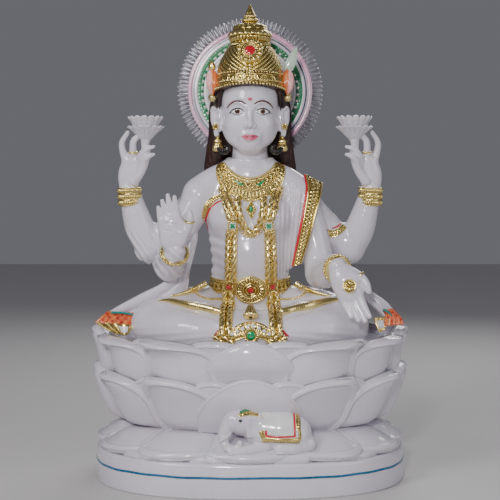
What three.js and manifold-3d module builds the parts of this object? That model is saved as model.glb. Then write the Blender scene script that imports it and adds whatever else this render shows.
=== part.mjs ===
// A four-armed deity seated on a double lotus, carved in white marble, painted and gilded.
// Millimetres, +Z up, the figure faces -Y, and the origin is the centre of the plinth's underside.
// Right and left are the figure's own: its right is -X. Blocks that touch keep a glue line of GAP.
import * as THREE from "three";
import { LoftGeometry } from "three/addons/geometries/LoftGeometry.js";
import { mergeVertices } from "three/addons/utils/BufferGeometryUtils.js";
import Module from "manifold-3d";

const wasm = await Module();
wasm.setup();

// ---------------------------------------------------------------- driving dimensions
const HEIGHT = 914; // floor to the crown's tip: a 36 inch statue
const GAP = 0.3;
const PLINTH = { a: 298, b: 228, top: 64 }; // half width, half depth, height
const SEAT_Z = 262; // top of the lotus core, where the figure sits
const WAIST_Z = 106; // the throne's narrowest level, between the two lotuses
const PETALS = 12; // in each ring
const PETAL_STEP = (2 * Math.PI) / PETALS;
const CHIN_Z = 625;
const HEAD_X = 0;
const HALO = { z: 753, y: 78, r: 147, disc: 116, thick: 8, fringe: 6 };
const CROWN_Z = 744; // lower edge of the crown, at the brow
const PIN_R = 6; // stainless dowels between the blocks
const PIN_AT = { y: 50, z: 735 }; // the halo's dowel

// ---------------------------------------------------------------- solids
const flat = (points) => points.map(([x, y]) => new THREE.Vector2(x, y));

function solid(geometry) {
  const bare = new THREE.BufferGeometry().setAttribute("position", geometry.getAttribute("position"));
  if (geometry.index) bare.setIndex(geometry.index);
  const merged = mergeVertices(bare, 1e-3);
  const triVerts = new Uint32Array(merged.index.array);
  const vertProperties = new Float32Array(merged.attributes.position.array);
  const make = () => new wasm.Manifold(new wasm.Mesh({ numProp: 3, vertProperties, triVerts }));
  const made = make();
  if (made.volume() >= 0) return made;
  for (let i = 0; i < triVerts.length; i += 3) {
    [triVerts[i + 1], triVerts[i + 2]] = [triVerts[i + 2], triVerts[i + 1]];
  }
  return make();
}

const join = (...parts) => parts.reduce((all, part) => all.add(part));
const cut = (part, ...tools) => tools.reduce((left, tool) => left.subtract(tool), part);
const mirrored = (part) => part.mirror([1, 0, 0]);
const largest = (part) => part.decompose().sort((p, q) => q.volume() - p.volume())[0];

// A solid with elliptical sections along a smooth line. Each station is [x, y, z, a, b]: a is the
// section's half size towards `side`, b its half size across that. Both ends are rounded.
function limb(stations, { grow = 0, sides = 8, rows = 4, side = [1, 0, 0] } = {}) {
  const line = new THREE.CatmullRomCurve3(stations.map(([x, y, z]) => new THREE.Vector3(x, y, z)));
  const size = new THREE.CatmullRomCurve3(stations.map((s) => new THREE.Vector3(s[3], s[4] ?? s[3], 0)));
  const sections = [];
  const section = (t, along, shrink) => {
    const tangent = line.getTangent(t).normalize();
    const across = new THREE.Vector3(...side);
    const u = across.clone().addScaledVector(tangent, -tangent.dot(across));
    u.normalize();
    const v = tangent.clone().cross(u);
    const s = size.getPoint(t);
    const centre = line.getPoint(t).addScaledVector(tangent, along);
    const points = [];
    for (let i = 0; i < sides; i++) {
      const angle = (2 * Math.PI * i) / sides;
      points.push(
        centre
          .clone()
          .addScaledVector(u, (s.x + grow) * shrink * Math.cos(angle))
          .addScaledVector(v, (s.y + grow) * shrink * Math.sin(angle)),
      );
    }
    sections.push(points);
  };
  const reach = (t) => Math.min(size.getPoint(t).x, size.getPoint(t).y) + grow;
  section(0, -reach(0) * 0.8, 0.6);
  for (let i = 0; i <= rows; i++) section(i / rows, 0, 1);
  section(1, reach(1) * 0.8, 0.6);
  return solid(new LoftGeometry(sections, { capStart: true, capEnd: true }));
}

// Horizontal ellipses stacked up: each level is [z, a, b, y].
function stack(levels, { grow = 0, sides = 20 } = {}) {
  const sections = levels.map(([z, a, b, y = 0], i) => {
    const lift = i === 0 ? -grow : i === levels.length - 1 ? grow : 0;
    return Array.from({ length: sides }, (_, k) => {
      const angle = (2 * Math.PI * k) / sides;
      return new THREE.Vector3((a + grow) * Math.cos(angle), y + (b + grow) * Math.sin(angle), z + lift);
    });
  });
  return solid(new LoftGeometry(sections, { capStart: true, capEnd: true }));
}

function ball([x, y, z], [a, b, c], { grow = 0, sides = 10 } = {}) {
  const geometry = new THREE.SphereGeometry(1, sides, Math.round(sides / 2));
  geometry.scale(a + grow, b + grow, c + grow).translate(x, y, z);
  return solid(geometry);
}

// A turned piece: profile points are [radius, height] and the axis starts at `at` and runs along `axis`.
function turned(profile, at, axis = [0, 0, 1], sides = 16) {
  const geometry = new THREE.LatheGeometry(flat(profile), sides);
  const turn = new THREE.Quaternion().setFromUnitVectors(
    new THREE.Vector3(0, 1, 0),
    new THREE.Vector3(...axis).normalize(),
  );
  geometry.applyQuaternion(turn).translate(...at);
  return solid(geometry);
}

const rod = (radius, length, at, axis, sides = 12) =>
  turned([[0, 0], [radius, 0], [radius, length], [0, length]], at, axis, sides);

// A flat outline in X and Z, run through the figure from front to back between two Y values.
function through(outline, { front = -300, back = 0, grow = 0 } = {}) {
  const shape = outline instanceof THREE.Shape ? outline : new THREE.Shape(flat(outline));
  const options = { depth: back - front, bevelEnabled: false, curveSegments: 6 };
  const geometry = new THREE.ExtrudeGeometry(shape, options);
  geometry.rotateX(Math.PI / 2).translate(0, back, 0);
  if (!grow) return solid(geometry);
  geometry.computeBoundingBox();
  const mid = geometry.boundingBox.getCenter(new THREE.Vector3());
  const half = geometry.boundingBox.getSize(new THREE.Vector3()).divideScalar(2);
  geometry.translate(-mid.x, -mid.y, -mid.z);
  geometry.scale(1 + grow / half.x, 1, 1 + grow / half.z).translate(mid.x, mid.y, mid.z);
  return solid(geometry);
}

// What lies on a body inside an outline: a skin of that thickness, clear of the body by GAP.
const laidOn = (body, outline, thick, ...tools) =>
  largest(cut(through(outline).intersect(body(thick)), body(GAP), ...tools));

function box([x0, y0, z0], [x1, y1, z1]) {
  const geometry = new THREE.BoxGeometry(x1 - x0, y1 - y0, z1 - z0);
  geometry.translate((x0 + x1) / 2, (y0 + y1) / 2, (z0 + z1) / 2);
  return solid(geometry);
}

// ---------------------------------------------------------------- throne
function plinthSolid() {
  const power = 2 / 2.5; // a superellipse, straighter along the front than an ellipse
  const outline = Array.from({ length: 40 }, (_, k) => {
    const angle = (2 * Math.PI * k) / 40;
    const part = (value, half) => Math.sign(value) * half * Math.abs(value) ** power;
    return [part(Math.cos(angle), PLINTH.a), part(Math.sin(angle), PLINTH.b)];
  });
  const shape = new THREE.Shape(flat(outline));
  return solid(new THREE.ExtrudeGeometry(shape, { depth: PLINTH.top, bevelEnabled: false }));
}

const CORE = [
  [WAIST_Z, 222, 146],
  [135, 250, 168],
  [170, 270, 188],
  [210, 280, 200],
  [SEAT_Z, 284, 206],
];
const core = (grow = 0) => stack(CORE, { grow });

// One petal: a curved plate that follows an elliptical bowl. Each row is [z, a, b, width, thickness],
// with width as a share of halfAngle. The petal stands out by `bulge` along its middle.
function petal(rows, { angle, halfAngle, bulge, across = 3 }) {
  const point = ([z, a, b, width, thick], share, inner) => {
    const t = angle + share * halfAngle * width;
    const out = bulge * (1 - share * share) * Math.min(1, width * 1.4) - (inner ? thick : 0);
    return new THREE.Vector3((a + out) * Math.sin(t), -(b + out) * Math.cos(t), z);
  };
  const sections = rows.map((row) => {
    const shares = Array.from({ length: across + 1 }, (_, k) => (2 * k) / across - 1);
    const outer = shares.map((s) => point(row, s * 0.999, false));
    const inner = [...shares].reverse().map((s) => point(row, s, true));
    return [...outer, ...inner];
  });
  return solid(new LoftGeometry(sections, { capStart: true, capEnd: true }));
}

const petalRing = (rows, options) =>
  join(...Array.from({ length: PETALS }, (_, k) => petal(rows, { ...options, angle: k * PETAL_STEP })));

const LOWER_ROWS = [
  [WAIST_Z, 233, 156, 0.88, 24],
  [138, 266, 184, 0.97, 26],
  [175, 290, 211, 0.97, 20],
  [201, 303, 225, 0.6, 10],
  [214, 308, 229, 0.06, 6],
];
const UPPER_ROWS = [
  [205, 280, 204, 0.95, 14],
  [240, 295, 217, 0.97, 16],
  [268, 305, 228, 0.58, 10],
  [282, 309, 232, 0.06, 6],
];
const BASE_ROWS = [
  [68, 303, 228, 0.06, 6],
  [76, 296, 220, 0.6, 14],
  [92, 268, 195, 0.97, 26],
  [112, 228, 151, 0.85, 30],
];
const petalShape = { halfAngle: PETAL_STEP / 2, bulge: 7 };

const elephantSlab = (grow = 0) =>
  box([-86 - grow, -226 - grow, PLINTH.top + GAP], [112 + grow, -150, 78 + grow]);

const lowerBand = () => stack([[WAIST_Z, 228, 154], [128, 252, 174]]);
const lowerPetals = () => cut(join(lowerBand(), petalRing(LOWER_ROWS, petalShape)), core(GAP));

const upperBand = () => stack([[205, 283, 207], [248, 290, 217]]);
const upperPetals = () => cut(join(upperBand(), petalRing(UPPER_ROWS, petalShape)), core(GAP));

function basePetals() {
  const cone = stack([
    [PLINTH.top + GAP, 286, 215],
    [78, 280, 208],
    [WAIST_Z - GAP, 228, 152],
  ]);
  const roof = box([-400, -400, WAIST_Z - GAP], [400, 400, 200]);
  const floor = box([-400, -400, 0], [400, 400, PLINTH.top + GAP]);
  const ring = petalRing(BASE_ROWS, petalShape);
  return largest(cut(join(cone, ring), roof, floor, elephantSlab(GAP), elephantBody(GAP)));
}

// ---------------------------------------------------------------- elephant in front of the throne
const bowlFront = (grow = 0) =>
  stack([[WAIST_Z - 4, 248, 168], [138, 284, 196], [175, 309, 223], [188, 316, 230]], { grow });

const elephantBody = (grow = 0) =>
  join(
    ball([52, -196, 116], [58, 30, 37], { grow }),
    ball([-22, -200, 134], [27, 24, 27], { grow }),
    limb([[-38, -208, 132, 13], [-46, -212, 112, 9], [-42, -216, 98, 7], [-26, -216, 94, 6]], {
      grow,
      sides: 6,
      rows: 4,
    }),
    limb([[20, -208, 86, 8], [-36, -214, 86, 7]], { grow, sides: 6, rows: 2, side: [0, 1, 0] }),
    limb([[96, -206, 90, 12], [52, -214, 86, 8]], { grow, sides: 6, rows: 2, side: [0, 1, 0] }),
  );

const onSlab = (part) => cut(part, box([-200, -300, 0], [200, 0, 78 + GAP]));
const elephant = () => largest(onSlab(cut(elephantBody(), bowlFront(GAP))));

function elephantBlanket() {
  const outline = [[14, 108], [88, 106], [88, 156], [28, 160]];
  return largest(cut(through(outline).intersect(elephantBody(4)), elephantBody(GAP), bowlFront(GAP)));
}

// ---------------------------------------------------------------- figure
const legStations = [
  [-48, 34, 312, 48, 46],
  [-120, 4, 312, 46, 42],
  [-178, -44, 304, 44, 38],
  [-182, -92, 298, 38, 34],
  [-120, -140, 294, 34, 30],
  [-40, -160, 290, 30, 26],
  [24, -164, 288, 24, 22],
];
const aboveSeat = (part, grow) => cut(part, box([-400, -400, 0], [400, 400, SEAT_Z + GAP - grow]));
// The dhoti drawn over each thigh.
const lapCloth = (grow = 0) => ball([-106, -62, 284], [108, 96, 46], { grow, sides: 14 });
const rightLeg = (grow = 0) =>
  aboveSeat(join(limb(legStations, { grow, sides: 10, rows: 9, side: [0, 0, 1] }), lapCloth(grow)), grow);
const leftLeg = (grow = 0) => mirrored(rightLeg(grow));

const torsoShape = (grow = 0) =>
  join(
    stack(
      [
        [SEAT_Z + GAP, 92, 76, 26],
        [310, 94, 72, 24],
        [350, 84, 58, 16],
        [385, 76, 50, 10],
        [425, 78, 50, 8],
        [480, 94, 56, 6],
        [535, 108, 55, 8],
        [572, 95, 41, 10],
        [604, 46, 30, 8],
      ],
      { grow },
    ),
    ball([-42, -40, 492], [36, 26, 36], { grow }),
    ball([42, -40, 492], [36, 26, 36], { grow }),
  );

const headShape = (grow = 0) =>
  join(
    stack([[596, 40, 36, 6], [640, 37, 36, 2]], { grow, sides: 14 }),
    stack(
      [
        [CHIN_Z, 16, 12, -34],
        [634, 30, 30, -18],
        [655, 48, 48, -4],
        [690, 58, 61, 2],
        [745, 59, 66, 6],
        [775, 46, 54, 8],
        [792, 22, 28, 8],
      ],
      { grow, sides: 16 },
    ),
    limb([[HEAD_X, -54, 700, 4], [HEAD_X, -64, 672, 8]], { grow, sides: 6, rows: 2 }),
    ball([-62, 4, 680], [9, 8, 28], { grow, sides: 8 }),
    ball([62, 4, 680], [9, 8, 28], { grow, sides: 8 }),
  );

const torso = () => cut(torsoShape(), headShape(GAP), rightLeg(GAP), leftLeg(GAP), pins(GAP));
const head = () => cut(headShape(), pins(GAP));
const rightLegPiece = () => cut(rightLeg(), pins(GAP));
const leftLegPiece = () => largest(cut(leftLeg(), rightLeg(GAP), pins(GAP)));

// ---------------------------------------------------------------- arms
const onSide = (part, left) => (left ? mirrored(part) : part);
const thin = { sides: 6, rows: 2 };

const rearUpperShape = (grow = 0) =>
  limb([[-92, 22, 545, 34], [-140, 26, 492, 31], [-200, 26, 434, 32]], { grow, side: [0, 1, 0] });
const rearForeShape = (grow = 0) =>
  limb([[-200, 26, 434, 33], [-216, 20, 482, 31], [-236, 10, 546, 22]], { grow, side: [0, 1, 0] });
const rearHandShape = (grow = 0) =>
  join(
    limb([[-237, 9, 552, 20, 15], [-232, 4, 590, 27, 13], [-228, -2, 612, 24, 10]], {
      grow,
      rows: 4,
    }),
    limb([[-216, -4, 570, 9], [-204, -8, 600, 8], [-206, -10, 634, 6]], { grow, ...thin }),
    limb([[-236, -2, 604, 12, 7], [-246, -6, 636, 10, 6], [-236, -10, 668, 6]], { grow, ...thin }),
  );

// The lotus in each rear hand, on an axis that leans out at the top.
const flowerShape = (grow = 0) =>
  turned(
    [
      [0, -grow],
      [6 + grow, -grow],
      [9 + grow, 20],
      [16 + grow, 30],
      [26 + grow, 46],
      [30 + grow, 60],
      [36 + grow, 80],
      [30 + grow, 82 + grow],
      [18, 72],
      [0, 68],
    ],
    [-197, -14, 612],
    [-0.09, 0.06, 1],
    14,
  );

const frontRightUpperShape = (grow = 0) =>
  limb([[-98, -2, 540, 33], [-134, -10, 470, 30], [-158, -26, 404, 30]], { grow, side: [0, 1, 0] });
const frontRightForeShape = (grow = 0) =>
  limb([[-158, -26, 404, 30], [-150, -72, 410, 28], [-139, -124, 430, 21]], { grow });
const frontRightHandShape = (grow = 0) =>
  join(
    limb([[-138, -134, 436, 21, 14], [-136, -140, 470, 31, 14], [-142, -142, 500, 29, 10]], {
      grow,
      rows: 4,
    }),
    limb([[-144, -142, 500, 27, 9], [-150, -144, 524, 22, 8], [-154, -142, 538, 14, 6]], {
      grow,
      rows: 2,
    }),
    limb([[-118, -138, 458, 10], [-106, -142, 486, 9], [-108, -146, 508, 7]], { grow, ...thin }),
  );

const frontLeftUpperShape = (grow = 0) =>
  limb([[98, -2, 540, 33], [124, -8, 462, 30], [136, -24, 386, 30]], { grow, side: [0, 1, 0] });
const frontLeftForeShape = (grow = 0) =>
  limb([[136, -24, 386, 30], [146, -66, 396, 27], [156, -112, 414, 21]], { grow });
const frontLeftHandShape = (grow = 0) =>
  join(
    limb([[162, -128, 408, 22, 14], [178, -142, 378, 31, 13], [188, -150, 352, 26, 9]], {
      grow,
      rows: 4,
    }),
    limb([[188, -150, 352, 25, 9], [194, -158, 330, 19, 7], [198, -162, 314, 12, 6]], {
      grow,
      rows: 2,
    }),
    limb([[198, -136, 390, 9], [210, -140, 372, 9], [216, -144, 350, 7]], { grow, ...thin }),
  );

// Each block is cut by the blocks before it, in this order: trunk, rear forearms, rear upper arms,
// front upper arms, front forearms, hands.
const trunk = (grow = 0) => join(torsoShape(grow), rightLeg(grow), leftLeg(grow), headShape(grow));
const frontUpperShape = (left, grow = 0) =>
  left ? frontLeftUpperShape(grow) : frontRightUpperShape(grow);
const frontForeShape = (left, grow = 0) => (left ? frontLeftForeShape(grow) : frontRightForeShape(grow));
const frontHandShape = (left, grow = 0) => (left ? frontLeftHandShape(grow) : frontRightHandShape(grow));
const rearArm = (left, grow = 0) => onSide(join(rearUpperShape(grow), rearForeShape(grow)), left);

const rearUpper = (left) =>
  largest(cut(onSide(rearUpperShape(), left), onSide(rearForeShape(GAP), left), trunk(GAP)));
const rearHand = () => largest(cut(rearHandShape(), rearForeShape(GAP), flowerShape(GAP)));
const frontUpper = (left) => largest(cut(frontUpperShape(left), trunk(GAP), rearArm(left, GAP)));
const frontFore = (left) =>
  largest(cut(frontForeShape(left), frontUpperShape(left, GAP), trunk(GAP), rearArm(left, GAP)));
const frontHand = (left) => largest(cut(frontHandShape(left), frontForeShape(left, GAP), trunk(GAP)));

function band(arm, hand, at, axis, radius, width, thick) {
  const half = width / 2;
  const profile = [[1, -half], [radius + thick, -half], [radius + thick, half], [1, half], [1, -half]];
  return largest(cut(turned(profile, at, axis, 12), arm, hand));
}
const rearBracelet = () =>
  band(rearForeShape(GAP), rearHandShape(GAP), [-234, 12, 534], [-20, -10, 64], 24, 26, 3);
const frontBracelet = (left) =>
  left
    ? band(frontForeShape(true, GAP), frontHandShape(true, GAP), [153, -98, 409], [10, -46, 16], 25, 14, 4)
    : band(frontForeShape(false, GAP), frontHandShape(false, GAP), [-142, -108, 425], [9, -50, 18], 25, 14, 4);

const palmCoin = () =>
  largest(cut(rod(11, 26, [181, -176, 372], [0, 0.96, 0.28]), frontHandShape(true, GAP)));

// ---------------------------------------------------------------- hair, crown and halo
const crownProfile = (grow = 0) => [
  [0, 0],
  [70 + grow, 0],
  [71 + grow, 18],
  [67 + grow, 30],
  [62 + grow, 52],
  [52 + grow, 76],
  [43 + grow, 92],
  [0, 92 + grow],
];
const crownShape = (grow = 0) => turned(crownProfile(grow), [HEAD_X, 4, CROWN_Z], [0, 0, 1], 20);
const hairShape = (grow = 0) =>
  join(
    ball([0, 20, 700], [72, 42, 62], { grow, sides: 12 }),
    limb([[-64, 26, 690, 16, 22], [-72, 30, 640, 15, 20], [-66, 40, 592, 12, 14]], { grow, rows: 3 }),
    limb([[64, 26, 690, 16, 22], [72, 30, 640, 15, 20], [66, 40, 592, 12, 14]], { grow, rows: 3 }),
    stack([[570, 60, 10, 56], [620, 70, 20, 44], [700, 66, 26, 38]], { grow, sides: 12 }),
  );

const crownBand = () =>
  cut(
    turned([[0, 0], [75, 0], [77, 9], [74, 18], [0, 18]], [HEAD_X, 4, CROWN_Z], [0, 0, 1], 20),
    headShape(GAP),
    halosBack(),
  );
const halosBack = () => box([-200, HALO.y - GAP, 500], [200, 200, 920]);
const crownDome = () =>
  cut(
    crownShape(),
    turned([[0, -9], [100, -9], [100, 18 + GAP], [0, 18 + GAP]], [HEAD_X, 4, CROWN_Z], [0, 0, 1], 16),
    headShape(GAP),
    halosBack(),
    medallionShape(GAP),
  );
const hair = () =>
  largest(
    cut(
      hairShape(),
      headShape(GAP),
      torsoShape(GAP),
      rearArm(false, GAP),
      rearArm(true, GAP),
      box([-200, -100, CROWN_Z - GAP], [200, 200, 900]),
      halosBack(),
      haloBeadGroove(),
      pins(GAP),
    ),
  );
const tierAt = [HEAD_X, 6, CROWN_Z + 92 + 2 * GAP];
const crownTier = () =>
  turned([[0, 0], [40, 0], [46, 8], [44, 16], [30, 26], [24, 32], [0, 32]], tierAt, [0, 0, 1], 20);
const crownFinial = () =>
  turned(
    [[0, 0], [19, 0], [20, 6], [13, 12], [12, 24], [8, 30], [2.5, 42], [0, HEIGHT - tierAt[2] - 32 - GAP]],
    [HEAD_X, 6, tierAt[2] + 32 + GAP],
    [0, 0, 1],
    20,
  );
// Where the crown's front rosette and its gem sit, and the way they face.
const GEM_AT = [0, -44, 812];
const GEM_AXIS = [0, -1, 0.34];
const medallionShape = (grow = 0) =>
  turned([[0, 0], [17 + grow, 0], [17 + grow, 10], [12, 14], [0, 14]], GEM_AT, GEM_AXIS, 14);
const medallion = () => cut(medallionShape(), headShape(GAP), gemShape(GAP));
const gemShape = (grow = 0) =>
  turned(
    [[0, 9 - grow], [8 + grow, 9 - grow], [8 + grow, 13], [5, 17], [0, 18]],
    GEM_AT, GEM_AXIS, 14,
  );
const sideFlower = () =>
  cut(
    join(
      limb([[-82, 10, 716, 9, 8], [-86, 8, 742, 13, 9], [-82, 6, 772, 8, 7]], { rows: 3 }),
      ball([-80, 6, 786], [9, 8, 10], { sides: 8 }),
    ),
    crownShape(GAP),
    turned([[0, -1], [77.5, -1], [77.5, 19], [0, 19]], [HEAD_X, 4, CROWN_Z], [0, 0, 1], 20),
    hairShape(GAP),
    headShape(GAP),
  );
const earring = () =>
  cut(
    turned(
      [[0, 0], [9, 2], [10, 8], [4, 16], [8, 22], [6, 28], [0, 32]],
      [-63, 2, 633],
      [0, 0, 1],
      12,
    ),
    headShape(GAP),
    hairShape(GAP),
  );

const haloDisc = () =>
  cut(rod(HALO.disc, HALO.thick, [0, HALO.y, HALO.z], [0, 1, 0], 32), haloPin(GAP), haloBeadGroove());
const HALO_BEADS = { inner: 88, outer: 100 };
const haloBeadGroove = () =>
  haloRing(HALO_BEADS.inner - GAP, HALO_BEADS.outer + GAP, -3 - GAP, 2 + GAP, 32);
const haloRing = (inner, outer, near, far, sides) =>
  turned(
    [[inner, near], [outer, near], [outer, far], [inner, far], [inner, near]],
    [0, HALO.y, HALO.z],
    [0, 1, 0],
    sides,
  );
const haloBeadRing = () => haloRing(HALO_BEADS.inner, HALO_BEADS.outer, -3, 2, 32);
function haloFringe() {
  const teeth = 32;
  const rim = Array.from({ length: 2 * teeth }, (_, k) => {
    const angle = (Math.PI * k) / teeth;
    const radius = k % 2 ? HALO.r - 6 : HALO.r;
    return [radius * Math.cos(angle), radius * Math.sin(angle)];
  });
  const shape = new THREE.Shape(flat(rim));
  shape.holes.push(new THREE.Path().absarc(0, 0, HALO.disc + GAP, 0, 2 * Math.PI));
  const options = { depth: HALO.fringe, bevelEnabled: false, curveSegments: 16 };
  const geometry = new THREE.ExtrudeGeometry(shape, options);
  geometry.rotateX(Math.PI / 2).translate(0, HALO.y + 7, HALO.z);
  return solid(geometry);
}

// ---------------------------------------------------------------- jewellery laid on the figure
const collarOutline = [
  [-66, 612], [-74, 580], [-62, 548], [-34, 524], [-9, 511], [-9, 488], [0, 476],
  [9, 488], [9, 511], [34, 524], [62, 548], [74, 580], [66, 612],
]; // it runs down into the pendant
const neckOpening = new THREE.Shape().absellipse(0, 622, 40, 42, 0, 2 * Math.PI);
const collarBody = (grow) => join(torsoShape(grow), headShape(grow));
const collar = () => laidOn(collarBody, collarOutline, 6, through(neckOpening), hairShape(GAP));
const collarTool = () => through(collarOutline, { grow: GAP + 0.2 });


function loopOutline(half, width, top, bottom) {
  const shape = new THREE.Shape();
  shape.moveTo(-half, top).lineTo(-half, bottom + half);
  shape.quadraticCurveTo(-half, bottom, 0, bottom).quadraticCurveTo(half, bottom, half, bottom + half);
  shape.lineTo(half, top).lineTo(half - width, top).lineTo(half - width, bottom + half);
  shape.quadraticCurveTo(half - width, bottom + width, 0, bottom + width);
  shape.quadraticCurveTo(width - half, bottom + width, width - half, bottom + half);
  shape.lineTo(width - half, top).closePath();
  return shape;
}
const shortGarland = () => laidOn(torsoShape, loopOutline(24, 8, 552, 456), 6, collarTool());

// The long garland: two strands down the body and a clasp that joins them across the shins.
const GARLAND = { inner: 25, outer: 48, clasp: 292 };
const lap = (grow) => join(torsoShape(grow), rightLeg(grow), leftLeg(grow));
const strandOutline = (left) => {
  const [x0, x1] = left ? [GARLAND.inner, GARLAND.outer] : [-GARLAND.outer, -GARLAND.inner];
  return [[x0, 560], [x0, GARLAND.clasp], [x1, GARLAND.clasp], [x1, 560]];
};
const strand = (left) => laidOn(lap, strandOutline(left), 7, collarTool());
const strandTool = (left) => through(strandOutline(left), { grow: GAP });
const garlandClasp = () =>
  largest(
    cut(
      limb([[-56, -184, 282, 12, 10], [0, -204, 287, 16, 12], [56, -184, 282, 12, 10]], {
        side: [0, 0, 1],
      }),
      lap(GAP),
      strandTool(false),
      strandTool(true),
      box([-100, -300, 0], [100, 0, 271]),
    ),
  );

const beltMedal = new THREE.Shape().absarc(0, 362, 20, 0, 2 * Math.PI);
const beltZone = box([-200, -200, 351], [200, 200, 377]);
const beltTools = () => [
  torsoShape(GAP),
  rightLeg(GAP),
  leftLeg(GAP),
  strandTool(false),
  strandTool(true),
  through(beltMedal, { grow: GAP }),
  ...[false, true].flatMap((left) => [frontUpperShape(left, GAP), frontForeShape(left, GAP)]),
];
const belt = () => largest(cut(torsoShape(7).intersect(beltZone), ...beltTools()));
const beltMedallion = () => laidOn(torsoShape, beltMedal, 12, strandTool(false), strandTool(true));

const borderOutline = [
  [84, 600], [100, 596], [122, 530], [112, 450],
  [104, 396], [88, 396], [94, 450], [102, 526],
];
const borderBody = (grow) => join(torsoShape(grow), frontUpperShape(true, grow));
const sariBorder = () =>
  laidOn(borderBody, borderOutline, 5, rearArm(true, GAP), hairShape(GAP), collarTool(), headShape(GAP));

// ---------------------------------------------------------------- scarf
const SCARF_SEAM = { right: -222, left: 243 }; // where the carved cloth turns into its painted end
const petalTool = () => box([-400, -300, 0], [400, 300, 282 + GAP]);
const flatWise = { side: [0.5, 0, 0.85] };
const scarfTools = (left) => [
  trunk(GAP),
  rearArm(left, GAP),
  frontUpperShape(left, GAP),
  frontForeShape(left, GAP),
  frontHandShape(left, GAP),
  petalTool(),
];
const scarfRight = () =>
  largest(
    cut(
      limb([
        [-112, -8, 452, 10, 8], [-132, 2, 400, 16, 8],
        [-176, 4, 352, 24, 9], [-226, -4, 322, 26, 9],
      ], {
        ...flatWise,
        rows: 6,
      }),
      ...scarfTools(false),
      box([-400, -100, 0], [SCARF_SEAM.right, 100, 400]),
    ),
  );
const scarfRightEnd = () =>
  largest(
    cut(
      limb([[-228, -8, 316, 22, 9], [-254, -14, 302, 18, 8], [-282, -18, 294, 10, 6]], flatWise),
      ...scarfTools(false),
      box([SCARF_SEAM.right - GAP, -100, 0], [0, 100, 400]),
    ),
  );
const scarfLeft = () =>
  largest(
    cut(
      limb([[176, -100, 366, 12, 7], [210, -74, 344, 20, 8], [250, -46, 316, 22, 8]], flatWise),
      ...scarfTools(true),
      box([SCARF_SEAM.left, -300, 0], [400, 100, 400]),
    ),
  );
const scarfLeftEnd = () =>
  largest(
    cut(
      limb([[246, -46, 312, 20, 8], [270, -30, 300, 17, 8], [290, -24, 294, 10, 6]], flatWise),
      ...scarfTools(true),
      box([0, -300, 0], [SCARF_SEAM.left + GAP, 100, 400]),
    ),
  );

// ---------------------------------------------------------------- dowels
const haloPin = (grow = 0) =>
  rod(PIN_R + grow, 34 + 2 * grow, [0, PIN_AT.y - grow, PIN_AT.z], [0, 1, 0]);
const figurePin = (grow = 0) => rod(PIN_R + 2 + grow, 90 + 2 * grow, [0, 36, 220 - grow], [0, 0, 1]);
const thronePin = (grow = 0) => rod(PIN_R + 2 + grow, 110 + 2 * grow, [0, 0, 34 - grow], [0, 0, 1]);
const pins = (grow) => join(haloPin(grow), figurePin(grow), thronePin(grow));

// ---------------------------------------------------------------- the statue
const statue = new THREE.Group();
const marble = new THREE.MeshStandardMaterial({ color: 0xe4e2e6, roughness: 0.22, metalness: 0 });
const gold = new THREE.MeshStandardMaterial({ color: 0xc9a227, roughness: 0.28, metalness: 1 });
const hairPaint = new THREE.MeshStandardMaterial({ color: 0x2c1410, roughness: 0.4, metalness: 0 });
const redPaint = new THREE.MeshStandardMaterial({ color: 0xc01820, roughness: 0.15, metalness: 0 });
const greenPaint = new THREE.MeshStandardMaterial({ color: 0x0c8a48, roughness: 0.3, metalness: 0 });
const orangePaint = new THREE.MeshStandardMaterial({ color: 0xd8602c, roughness: 0.35, metalness: 0 });
const steel = new THREE.MeshStandardMaterial({ color: 0xb8bcc0, roughness: 0.3, metalness: 1 });

function place(name, part, material) {
  const mesh = part.getMesh();
  const geometry = new THREE.BufferGeometry();
  geometry.setAttribute("position", new THREE.BufferAttribute(new Float32Array(mesh.vertProperties), 3));
  geometry.setIndex(new THREE.BufferAttribute(new Uint32Array(mesh.triVerts), 1));
  geometry.computeVertexNormals();
  const node = new THREE.Mesh(geometry, material);
  node.name = name;
  statue.add(node);
}

place("plinth", cut(plinthSolid(), pins(GAP)), marble);
place("base_lotus", cut(basePetals(), pins(GAP)), marble);
place("lotus_core", cut(core(), pins(GAP)), marble);
place("lower_petal_ring", lowerPetals(), marble);
place("upper_petal_ring", upperPetals(), marble);
place("elephant_slab", elephantSlab(), marble);
place("elephant", elephant(), marble);
place("elephant_blanket", elephantBlanket(), gold);

place("right_leg", rightLegPiece(), marble);
place("left_leg", leftLegPiece(), marble);
place("torso", torso(), marble);
place("head", head(), marble);
place("hair", hair(), hairPaint);

place("crown_band", crownBand(), gold);
place("crown_dome", crownDome(), gold);
place("crown_tier", crownTier(), gold);
place("crown_finial", crownFinial(), gold);
place("crown_medallion", medallion(), gold);
place("crown_gem", gemShape(), redPaint);
place("crown_flower_right", sideFlower(), orangePaint);
place("crown_flower_left", mirrored(sideFlower()), orangePaint);
place("earring_right", earring(), gold);
place("earring_left", mirrored(earring()), gold);

place("halo_disc", haloDisc(), marble);
place("halo_bead_ring", haloBeadRing(), greenPaint);
place("halo_fringe", haloFringe(), marble);

for (const [side, left] of [["right", false], ["left", true]]) {
  place(`rear_${side}_upper_arm`, rearUpper(left), marble);
  place(`rear_${side}_forearm`, onSide(rearForeShape(), left), marble);
  place(`rear_${side}_hand`, onSide(rearHand(), left), marble);
  place(`rear_${side}_bracelet`, onSide(rearBracelet(), left), gold);
  place(`${side}_lotus_flower`, onSide(flowerShape(), left), marble);
  place(`front_${side}_upper_arm`, frontUpper(left), marble);
  place(`front_${side}_forearm`, frontFore(left), marble);
  place(`front_${side}_hand`, frontHand(left), marble);
  place(`front_${side}_bracelet`, frontBracelet(left), gold);
  place(`long_garland_${side}`, strand(left), gold);
}
place("palm_coin", palmCoin(), gold);

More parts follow.
